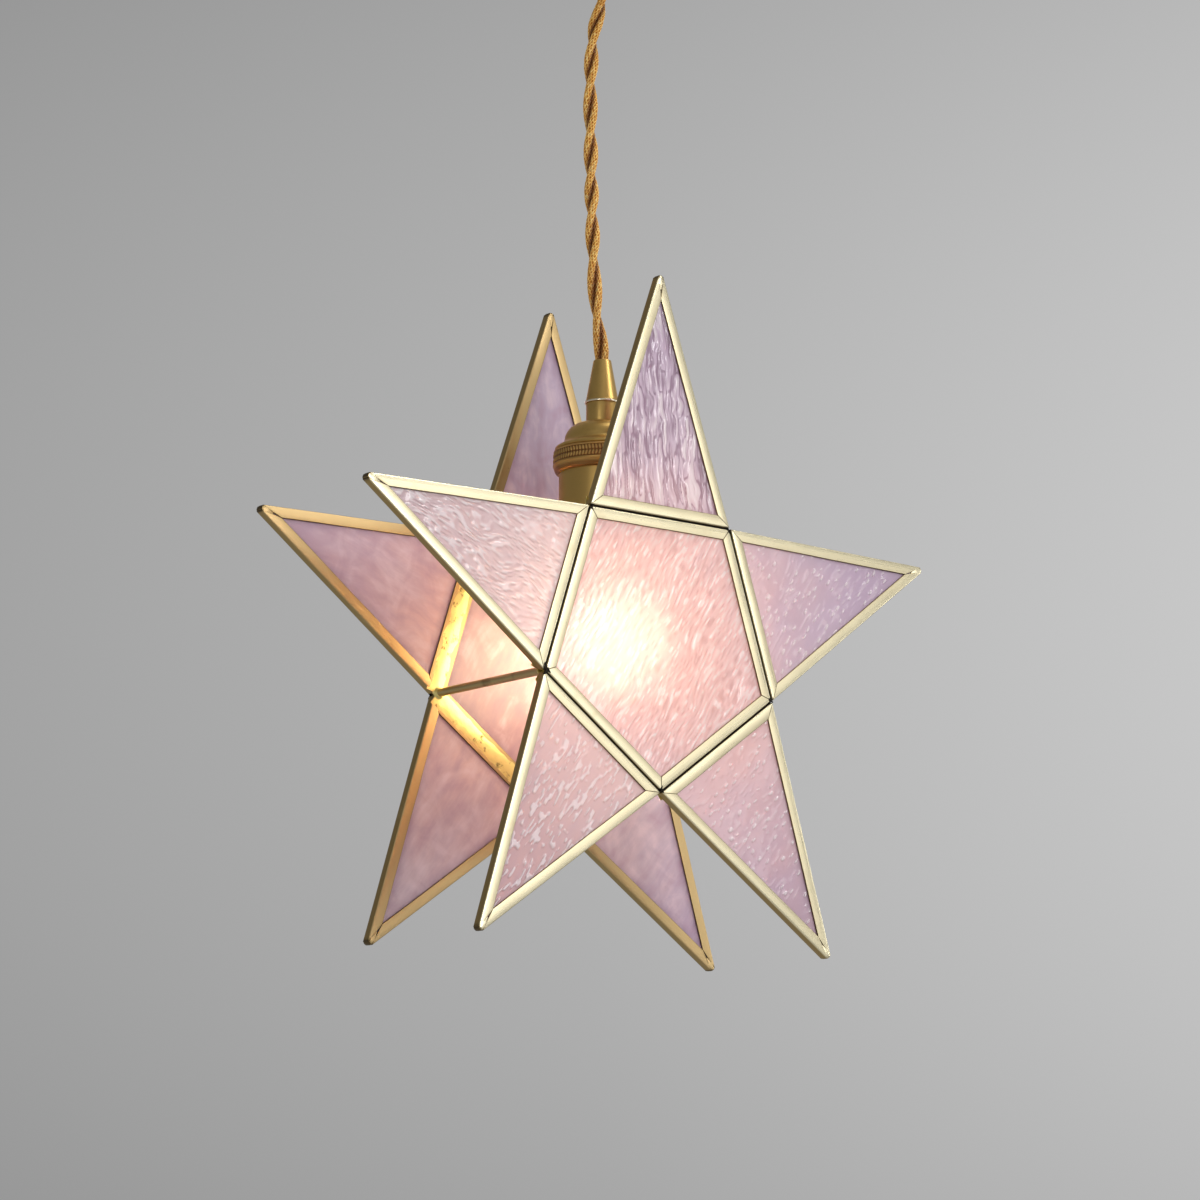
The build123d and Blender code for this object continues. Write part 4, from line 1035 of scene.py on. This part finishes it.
def roseGlass():
    # rose to lavender streaks along the grain, with painted shade in the hollows and painted highlights on the ridges,
    # a painted glow of the bulb's light in the emission, and a rosier tint where that light is strong
    material, tree, shader = newMaterial("roseGlass", Roughness=0.5, TransmissionWeight=0.42, IOR=1.5,
                                         CoatRoughness=0.05, Metallic=0.0, EmissionStrength=1.0)
    light = put(tree, "Group", {"Vector": objectPlace(tree)}, node_tree=makeBulbGlow())
    ripple, gloss, rosy, pale, near = (mark(tree, name) for name in ("ripple", "gloss", "rosy", "pale", "near"))
    streaks = brushed(tree, 0.12, 0.22) + cloudy(tree, 24.0, 2.0)
    # painted light: the tint turns rosier where more of the bulb's light reaches the pane
    tint = streaks.ranged(0.6, 1.4, -0.35, 0.35).calc("ADD", rosy + light.ranged(0.0, 0.15, 0.2, 0.9), True)
    # the smooth side: pale and deep wisps along the grain, and painted shade at its edges by the lips
    inner = gloss.ranged(1.0, pane["innerGloss"])
    wisps = (brushed(tree, 0.16, 0.45) + cloudy(tree, 75.0, 4.0, Distortion=1.2)).ranged(0.0, 2.0)
    colour = tint.mixed(pane["lavender"], pane["rose"]).covered(
        (pale.ranged(0.0, 1.0), pane["milk"]), (pale.ranged(0.0, -1.0), pane["plum"]),
        (aged(tree, 55.0, 0.5, 0.11), pane["stain"]),
        (inner * wisps.ranged(0.50, 0.64, 0.0, 0.6), pane["paleWisp"]),
        (inner * wisps.ranged(0.50, 0.36, 0.0, 0.5), pane["deepWisp"]),
        # painted shade: the smooth side darkens within a few mm of the frame
        (inner * near.ranged(3.4, 8.0, 0.45, 0.0), pane["edge"]),
        # painted shade in the ripple's hollows and painted highlights on its ridges
        (ripple.ranged(-0.8, -0.1, 0.9, 0.0), tint.mixed(pane["lavenderHollow"], pane["roseHollow"])),
        (ripple.ranged(0.15, 0.75, 0.0, 0.7), pane["ridge"]))
    # painted glow in the emission, mostly on the rippled side and less in its hollows
    dim = (ripple.ranged(-0.5, 0.5, 0.4, 0.0) + 1.0).calc("SUBTRACT", gloss, True)
    feed(shader, BaseColor=colour, CoatWeight=gloss, EmissionColor=dim.mixed(light.ramp(pane["glow"]), (0.0, 0.0, 0.0)))
    return material


def makePanes():
    glass = roseGlass()
    for number, face in enumerate(("front", "back")):
        for index, name in enumerate(star["tips"] + ["centre"]):
            makePane(face, name, 300 + 100 * number + 11 * index, glass)


makePanes()
print("panes: done")


# Lampholder and cone: turned brass with softened edges

holder = {
    "segments": 128, "lines": (4.0, 5000.0),
    # outlines of (radius, end, rise, rounding): the rise counts from the piece's foot, end 0, or its top, end 1
    "cone": [(5.05, 0, 0, 0.1), (7.3, 0, 0, 0.4), (7.3, 0, 1.2, 0.4), (6.9, 0, 1.2, 0.12), (3.75, 1, 0, 0.25),
             (3.2, 1, 0, 0.2), (3.2, 1, -6, 0.1), (2.2, 1, -6, 0.1), (2.2, 0, 7, 0.1), (5.05, 0, 7, 0.1)],
    "lip": [(7.05, 0, 0, 0.08), (7.42, 0, 0, 0.18), (7.42, 0, 0.75, 0.18), (7.05, 0, 0.75, 0.08)],
    "neck": [(5.05, 0, 0, 0.25), (6.8, 0, 0, 0.25), (6.8, 1, 0, 0.25), (5.05, 1, 0, 0.25)],
    "shell": [(18.2, 1, -29.5, 0.5), (18.2, 1, 0, 0.2), (17.3, 1, 0, 0.2), (17.3, 1, -28.6, 0.2),
              (14.25, 1, -28.6, 0.2), (14.25, 0, 0, 0.2), (15.45, 0, 0, 0.2), (15.45, 1, -29.5, 0.2)],
    "shade": [(15.5, 0, 0, 0.1), (19.2, 0, 0, 0.3), (20.0, 0, 0.8, 0.3), (20.0, 1, 0, 0.3), (15.5, 1, 0, 0.1)],
    "ring": [(18.25, 0, 0, 0.1), (18.9, 0, 0, 0.3), (19.6, 0, 0.5, 0.5), (20.1, 0, 1.5, 0.8), (20.45, 0, 2.6, 0.3),
             (20.75, 1, -6.7, 0.2), (20.75, 1, -6.2, 0.2), (20.3, 1, -5.8, 0.12), (20.3, 1, -1.0, 0.12),
             (20.5, 1, -0.7, 0.15), (20.2, 1, -0.2, 0.2), (19.6, 1, 0, 0.2), (18.25, 1, 0, 0.1)],
    # cap: bore, the dome's first radius, reach and drop, the step to the inner skin, and the flare from the top
    "bore": 5.05, "dome": (7.4, 8.5, 7.6), "inner": (-0.9, -0.7),
    "flare": [(16.15, -8.3), (16.75, -8.9), (17.7, -9.5), (18.7, -10.0), (19.5, -10.5), (19.95, -11.1)],
    # beads: number, points round each, height, spacing of points across, slant, radius where they start,
    # and top, bottom and way of both rows, from the ring's top
    "beads": 88, "beadSides": 8, "beadHeight": 0.38, "beadStep": 0.16, "beadSlant": 1.9, "beadFoot": 20.0,
    "beadRows": [(-1.1, -3.35, 1), (-3.45, -5.7, -1)],
    # the band of both rows, from the top, and the bevel with painted shade: outside this radius, up to this height
    "beadBand": (-5.8, -1.0), "bevel": (18.5, 1.9),
    # shade ring: points and notches round it, their depth, and the radius where they start
    "shadeSegments": 240, "notches": 60, "notchDepth": 0.18, "notchFoot": 19.5,
}


def heldOutline(key, node):
    ends = nodeHeights(node)
    corners = [(radius, ends[end] + rise) for radius, end, rise, _ in holder[key]]
    return roundedLoop(corners, [corner[3] for corner in holder[key]])


def holderMetal(name, pale, deep, rough, age, paintedShade=None):
    return metalMaterial(name, pale, deep, rough, holder["lines"], age, bump=0.02, streak=0.1, paintedShade=paintedShade)


def shadeNotches(angle, radius, height):
    notch = -holder["notchDepth"] * mm * (np.cos(holder["notches"] * angle) > 0.55)
    return np.where(radius > holder["notchFoot"] * mm, notch, 0.0)


def makeLampholder():
    brass = holderMetal("holderBrass", (0.63, 0.41, 0.13), (0.42, 0.255, 0.07), 0.36, (45.0, 0.5, 0.5))
    bright = holderMetal("lipBrass", (1.0, 0.93, 0.72), (0.85, 0.72, 0.45), 0.24, (45.0, 0.3, 0.4))
    slot, segments = "holder_brass", holder["segments"]
    makeTurned("cone", heldOutline("cone", "cord_cone"), brass, "hanging_cord", ["cord_cone"], segments)
    makeTurned("coneLip", heldOutline("lip", "cord_cone"), bright, "hanging_cord", (), segments)
    makeTurned("neckCollar", heldOutline("neck", "holder_neck"), brass, "lamp", ["holder_neck"], segments)
    makeTurned("domeCap", capOutline(), brass, "lamp", ["holder_cap"], segments)
    makeUnionRing()
    makeTurned("shell", heldOutline("shell", "holder_shell"), brass, "lamp", ["holder_shell"], segments)
    makeTurned("shadeRing", heldOutline("shade", "shade_ring"), brass, "lamp", ["shade_ring"],
               holder["shadeSegments"], shadeNotches)


def capOutline():
    # a dome that flares into its rim: (radius, height) points of the outer skin, then the wall's inner skin
    low, high = nodeHeights("holder_cap")
    rim = nodeHeights("union_ring")[1]
    turn = np.linspace(0, 1, 18) * math.pi / 2
    first, reach, drop = holder["dome"]
    dome = np.stack([first + reach * np.sin(turn), high - drop + drop * np.cos(turn)], 1)
    flare = np.array(holder["flare"]) + np.array([0, high])
    skirt = np.array([(20.0, rim + 0.45), (19.6, rim), (18.2, rim), (18.2, low), (17.3, low), (17.3, rim + 1.2)])
    inside = dome[::-3] + np.array(holder["inner"])
    mouth = [(holder["bore"], high - 1), (holder["bore"], high)]
    return np.concatenate([mouth, dome, flare, skirt, inside[1:-1]])


def makeUnionRing():
    # two rows of slanted beads round the ring's upper half, a fine raised line and a plain band under them; painted
    # shade darkens the gaps between the beads and the lower bevel
    low, high = nodeHeights("union_ring")
    bottom, top = (high + rise for rise in holder["beadBand"])
    loop = heldOutline("ring", "union_ring")
    dense = []
    for start, end in zip(loop, np.roll(loop, -1, 0)):
        inBeads = min(start[1], end[1]) >= bottom - 0.05 and max(start[1], end[1]) <= top + 0.05
        inBeads = inBeads and start[0] > holder["beadFoot"]
        count = max(1, int(np.linalg.norm(end - start) / holder["beadStep"])) if inBeads else 1
        dense.append(start + np.linspace(0, 1, count, endpoint=False)[:, None] * (end - start))

    def beads(angle, radius, height):
        # slanted cosine ridges in each row, with rounded ends
        rise = np.zeros(np.broadcast(angle, height).shape)
        for first, last, way in holder["beadRows"]:
            first, last = high + first, high + last
            across = np.clip((height / mm - last) / (first - last), 0, 1)
            wave = np.cos(holder["beads"] * angle + way * holder["beadSlant"] * (across - 0.5))
            inside = (height / mm <= first) & (height / mm >= last) & (radius > holder["beadFoot"] * mm)
            rise += np.where(inside, np.sin(np.pi * across) ** 0.7 * (0.5 + 0.5 * wave) ** 0.6, 0.0)
        return rise * holder["beadHeight"] * mm

    outline, segments = np.concatenate(dense), holder["beads"] * holder["beadSides"]
    radius, height = outline[:, 0] * mm, outline[:, 1] * mm
    rise = beads(fullTurn(segments)[:, None], radius, height) / (holder["beadHeight"] * mm)
    # painted shade: darker between the beads and on the lower bevel
    bevel = (radius > holder["bevel"][0] * mm) & (height < (low + holder["bevel"][1]) * mm)
    beaded = (radius > holder["beadFoot"] * mm) & (height > bottom * mm) & (height < top * mm)
    brass = holderMetal("ringBrass", (0.62, 0.37, 0.12), (0.40, 0.22, 0.065), 0.34, (45.0, 0.5, 0.5),
                        (0.20, 0.085, 0.03))
    makeTurned("unionRing", outline, brass, "lamp", ["union_ring"], segments, beads, 60,
               {"paintedShade": beaded * (1 - smoothStep(rise, 0.12, 0.55)) + 0.7 * bevel})


makeLampholder()
print("lampholder: done")


# Bulb: a lit frosted envelope on a threaded base

bulb = {
    "radius": 27.5, "neck": 13.0, "wall": 1.0, "straight": 1.0, "segments": 96,
    # points along the waist and the globe, and the angle left open at its pole
    "waistPoints": 14, "globePoints": 40, "pole": 0.001,
    # base: rise and number of the thread's turns, radius, depth, rows, points round it, insulator, core and skin
    "pitch": 3.63, "turns": 5, "base": 13.2, "threadDepth": 0.9, "threadRows": 90, "baseSegments": 120,
    "insulator": 11.0, "core": 4.0, "skin": 0.7,
    "hotHeight": -0.329, "glowHeight": -0.343,   # metres
    # strengths: on other pieces, seen through glass, seen directly and of the parts inside
    "light": 1.05, "shine": 2.3, "direct": 0.62, "hot": 50.0, "stem": 21.0,
    # shares: of the parts inside on other pieces, of all behind the near wall where no pane lies before the bulb,
    # and of the far walls on other pieces
    "scattered": 0.6, "bare": 0.05, "bounced": 0.9,
}


def bulbSide(offset, top, foot):
    # neck, waist arc and globe of one wall, which lies inwards by the offset
    globe, neckZ = foot + bulb["radius"], top - bulb["straight"]
    rise = neckZ - globe
    waist = (rise ** 2 + bulb["neck"] ** 2 - bulb["radius"] ** 2) / (2 * (bulb["radius"] - bulb["neck"]))
    lean = math.acos((bulb["neck"] + waist) / (bulb["radius"] + waist))
    turn = np.linspace(0, lean, bulb["waistPoints"])
    arc = waist + offset
    waistLine = np.stack([bulb["neck"] + waist - arc * np.cos(turn), neckZ - arc * np.sin(turn)], 1)
    down = np.linspace(lean, -math.pi / 2 + bulb["pole"], bulb["globePoints"])[1:]
    ball = bulb["radius"] - offset
    return np.concatenate([[(bulb["neck"] - offset, top)], waistLine,
                           np.stack([ball * np.cos(down), globe + ball * np.sin(down)], 1)])


def fromHeight(tree, height):
    # how far above or below a height a point lies
    return abs(objectPlace(tree).axis(2) - height)


def bulbGlass():
    # frosted and lit; its strength depends on how light comes to it
    material, tree, shader = newMaterial("bulbGlass", BaseColor=(1.0, 0.97, 0.92), Roughness=0.33,
                                         TransmissionWeight=0.85, IOR=1.2, EmissionStrength=bulb["light"])
    strength = lightPath(tree, "Is Transmission Ray").ranged(0.0, 1.0, bulb["light"], bulb["shine"])
    strength = strength + lightPath(tree, "Is Camera Ray") * (bulb["direct"] - bulb["light"])
    # with no pane before the bulb, light crosses its near inner wall, its far inner and its far outer one
    # at the depths 1, 2 and 3
    inner = mark(tree, "inside")
    crossed = lightPath(tree, "Transmission Depth") + inner * 1.5
    bare = abs(crossed - 3.0).calc("LESS_THAN", inner * 0.5 + 0.6)
    bounces = lightPath(tree, "Diffuse Depth") + lightPath(tree, "Glossy Depth")
    strength = strength * bare.ranged(0.0, 1.0, 1.0, bounces.ranged(0.0, 1.0, bulb["bare"], bulb["bounced"]))
    frost = cloudy(tree, 900.0, 2.0)
    fade = fromHeight(tree, bulb["glowHeight"]).ranged(0.012, 0.036, 1.0, 0.3, True)
    warm = frost.mixed((1.0, 0.84, 0.54), (1.0, 0.88, 0.60))
    feed(shader, EmissionStrength=strength, EmissionColor=fade.mixed((0.0, 0.0, 0.0), warm))
    addBump(shader, frost, 0.1, 0.0001)
    return material


def glowMaterial(name, colour, strength):
    # lit most at the middle of the filaments
    material, tree, shader = newMaterial(name, BaseColor=colour, Roughness=0.3, EmissionStrength=strength)
    lit = fromHeight(tree, bulb["hotHeight"]).ranged(0.003, 0.013, 1.0, 0.02, True)
    scattered = lightPath(tree, "Diffuse Depth")
    behind = lightPath(tree, "Transmission Depth") + scattered * 4.0
    share = lit * scattered.ranged(0.0, 1.0, 1.0, bulb["scattered"]) * behind.ranged(2.0, 3.0, bulb["bare"], 1.0)
    feed(shader, EmissionColor=share.mixed((0.0, 0.0, 0.0), (1.0, 0.87, 0.62)))
    return material


def makeBulb():
    low, high = nodeHeights("bulb_envelope")
    outer, inner = bulbSide(0, high, low), bulbSide(bulb["wall"], high, low)
    inside = np.tile(np.repeat([0.0, 1.0], len(outer)), bulb["segments"])
    makeTurned("bulbEnvelope", np.concatenate([outer, inner[::-1]]), bulbGlass(), "bulb", ["bulb_envelope"],
               bulb["segments"], None, 60, {"inside": inside})


def makeBulbBase():
    # radius of the thread at (angle, z): root + depth * (1 + cos(2 pi z / pitch + angle)) / 2, faded at both ends
    low, high = nodeHeights("bulb_cap")
    root, core, skin = bulb["base"] - bulb["threadDepth"], bulb["core"], bulb["skin"]
    span, rows = bulb["turns"] * bulb["pitch"], bulb["threadRows"]
    top = high - (high - low - span) / 2
    screw = np.stack([np.full(rows, root), np.linspace(top, top - span, rows)], 1)
    inner = [(root - skin, low), (root - skin, high - skin), (core, high - skin)]

    def thread(angle, radius, height):
        z = height / mm
        share = smoothStep(z, top - span, top - span + 2.0) * (1 - smoothStep(z, top - 2.0, top))
        wave = 0.5 + 0.5 * np.cos(2 * np.pi * z / bulb["pitch"] + angle)
        return np.where(np.abs(radius / mm - root) < 1e-6, bulb["threadDepth"] * mm * wave * share, 0.0)

    outline = np.concatenate([[(core, high), (bulb["insulator"], high)], screw, [(root, low)], inner])
    metal = metalMaterial("bulbMetal", (0.75, 0.74, 0.71), (0.55, 0.53, 0.48), 0.25, (3.0, 900.0), (150.0, 0.3, 0.3))
    makeTurned("bulbBase", outline, metal, "bulb", ["bulb_cap"], bulb["baseSegments"], thread, 50)


makeBulb()
makeBulbBase()
print("bulb: done")


# Finishes of the pieces that keep the solids' shape

def dressNodes():
    finishes = {
        metalMaterial("rodBrass", (0.55, 0.42, 0.20), (0.26, 0.18, 0.08), 0.34, (60.0, 60.0), (80.0, 0.5, 0.6),
                      False):
            ["cross_rods", "bridge", "nipple", "nipple_nut", "screw_shell", "centre_contact",
             "socket_terminals", "grip_nut"],
        plainMaterial("porcelain", (0.86, 0.84, 0.79), (0.80, 0.77, 0.71), 0.35): ["socket_insert"],
        metalMaterial("zincSteel", (0.62, 0.62, 0.60), (0.42, 0.42, 0.41), 0.35, (20.0, 900.0), (90.0, 0.4, 0.4),
                      False):
            ["mounting_bracket", "socket_screws", "terminal_screws"],
        plainMaterial("leadSleeve", (0.26, 0.16, 0.07), (0.20, 0.12, 0.05), 0.55): ["socket_leads", "ceiling_leads"],
        plainMaterial("bulbBlack", (0.02, 0.02, 0.022), (0.04, 0.04, 0.042), 0.25): ["bulb_insulator"],
        plainMaterial("contactTin", (0.70, 0.68, 0.62), (0.55, 0.52, 0.46), 0.35, Metallic=1.0): ["bulb_tip"],
        glowMaterial("stemGlass", (0.9, 0.92, 0.9), bulb["stem"]): ["bulb_stem"],
        glowMaterial("filament", (1.0, 0.8, 0.45), bulb["hot"]): ["bulb_filaments"],
        plainMaterial("bushRubber", (0.03, 0.03, 0.03), (0.05, 0.05, 0.05), 0.6): ["grip_bush"],
        plainMaterial("whitePlastic", (0.82, 0.82, 0.79), (0.76, 0.76, 0.72), 0.4): ["terminal_block"],
        metalMaterial("gripBrass", (0.42, 0.32, 0.16), (0.20, 0.145, 0.065), 0.36, (20.0, 20.0), (60.0, 0.5, 0.6),
                      False):
            ["cord_grip", "grip_screw", "canopy_screws", "canopy"],
    }
    for material, names in finishes.items():
        for name in names:
            nodes[name].data.materials.clear()
            nodes[name].data.materials.append(material)


dressNodes()
print("finishes: done")


# Studio: grey background that brightens to the right, soft lamps and a pale floor

studio = {
    "floorDrop": 2.4, "floorSize": 40.0,
    "ambient": 0.63,
    # the backdrop dims up and down: the square of the height where that ends, brightness in the middle and there
    "dim": (0.027, 1.0, 0.845),
    # share from left to right, and grey: only the middle lies in the picture
    "backdrop": [(0.0, 0.24), (0.28, 0.30), (0.418, 0.37), (0.5, 0.455), (0.582, 0.57), (0.75, 0.53), (1.0, 0.36)],
    "lamps": [
        # name, compass angle to the right of the front, height angle, distance, width, height, watts
        ("faceBox", 28.9, 9.1, 1.9, 0.84, 0.65, 2.32),
        ("glintLeft", 12, 15, 1.9, 0.45, 0.80, 8.6),
        ("glintRight", 65, 4, 1.9, 0.35, 0.60, 2.7),
        ("glintAbove", 40, 44, 1.9, 0.45, 0.45, 6.0),
        ("glintHolder", -58, 10, 1.9, 0.35, 0.50, 1.4),
        ("topBox", 30, 75, 1.5, 0.6, 0.6, 3.0),
    ],
}


def compass(aside, above):
    a, e = math.radians(aside), math.radians(above)
    return Vector((math.sin(a) * math.cos(e), -math.cos(a) * math.cos(e), math.sin(e)))


def makeWorld():
    # seen directly or in glass and metal, the backdrop's grey; to other light, one even brightness
    world = bpy.data.worlds.new("studio")
    bpy.context.scene.world = world
    world.use_nodes = True
    tree = world.node_tree
    tree.nodes.clear()
    direction = put(tree, "TexCoord", output="Generated")
    aside, above = (put(tree, "VectorMath", {0: direction, 1: axis}, "Value", operation="DOT_PRODUCT")
                    for axis in viewAxes()[:2])
    grey = aside.ranged(-1.0, 1.0).ramp([(position, (value,) * 3) for position, value in studio["backdrop"]])
    dim = (above * above).ranged(0.0, *studio["dim"])
    colour = put(tree, "Mix", {0: 1.0, 6: grey, 7: dim}, 2, data_type="RGBA", blend_type="MULTIPLY")
    seen = lightPath(tree, "Is Camera Ray").calc("ADD", lightPath(tree, "Is Glossy Ray"), True)
    seen = seen.calc("ADD", lightPath(tree, "Is Transmission Ray"), True)
    background = put(tree, "Background", {0: colour, 1: 1.0})
    light = put(tree, "Background", {0: (1.0, 1.0, 1.0, 1.0), 1: studio["ambient"]})
    mix = put(tree, "MixShader", {0: seen, 1: light, 2: background})
    tree.links.new(mix.socket, tree.nodes.new("ShaderNodeOutputWorld").inputs[0])


def makeLamps():
    aim = Vector((0, 0, -view["starDrop"]))
    for name, aside, above, distance, width, height, watts in studio["lamps"]:
        place = aim + distance * compass(aside, above)
        lamp = bpy.data.lights.new(name, "AREA")
        lamp.shape, lamp.size, lamp.size_y, lamp.energy = "RECTANGLE", width, height, watts
        stand = addObject(name, lamp)
        stand.matrix_world = Matrix.Translation(place) @ (place - aim).to_track_quat("Z", "Y").to_matrix().to_4x4()


def makeFloor():
    half, z = studio["floorSize"] / 2, -studio["floorDrop"]
    mesh = bpy.data.meshes.new("floor")
    mesh.from_pydata([(-half, -half, z), (half, -half, z), (half, half, z), (-half, half, z)], [], [(0, 1, 2, 3)])
    mesh.materials.append(plainMaterial("paleFloor", (0.56, 0.56, 0.56), (0.60, 0.60, 0.60), 0.8, 8.0, 0.0))
    floor = addObject("floor", mesh)


makeWorld()
makeLamps()
makeFloor()
print("studio: done")
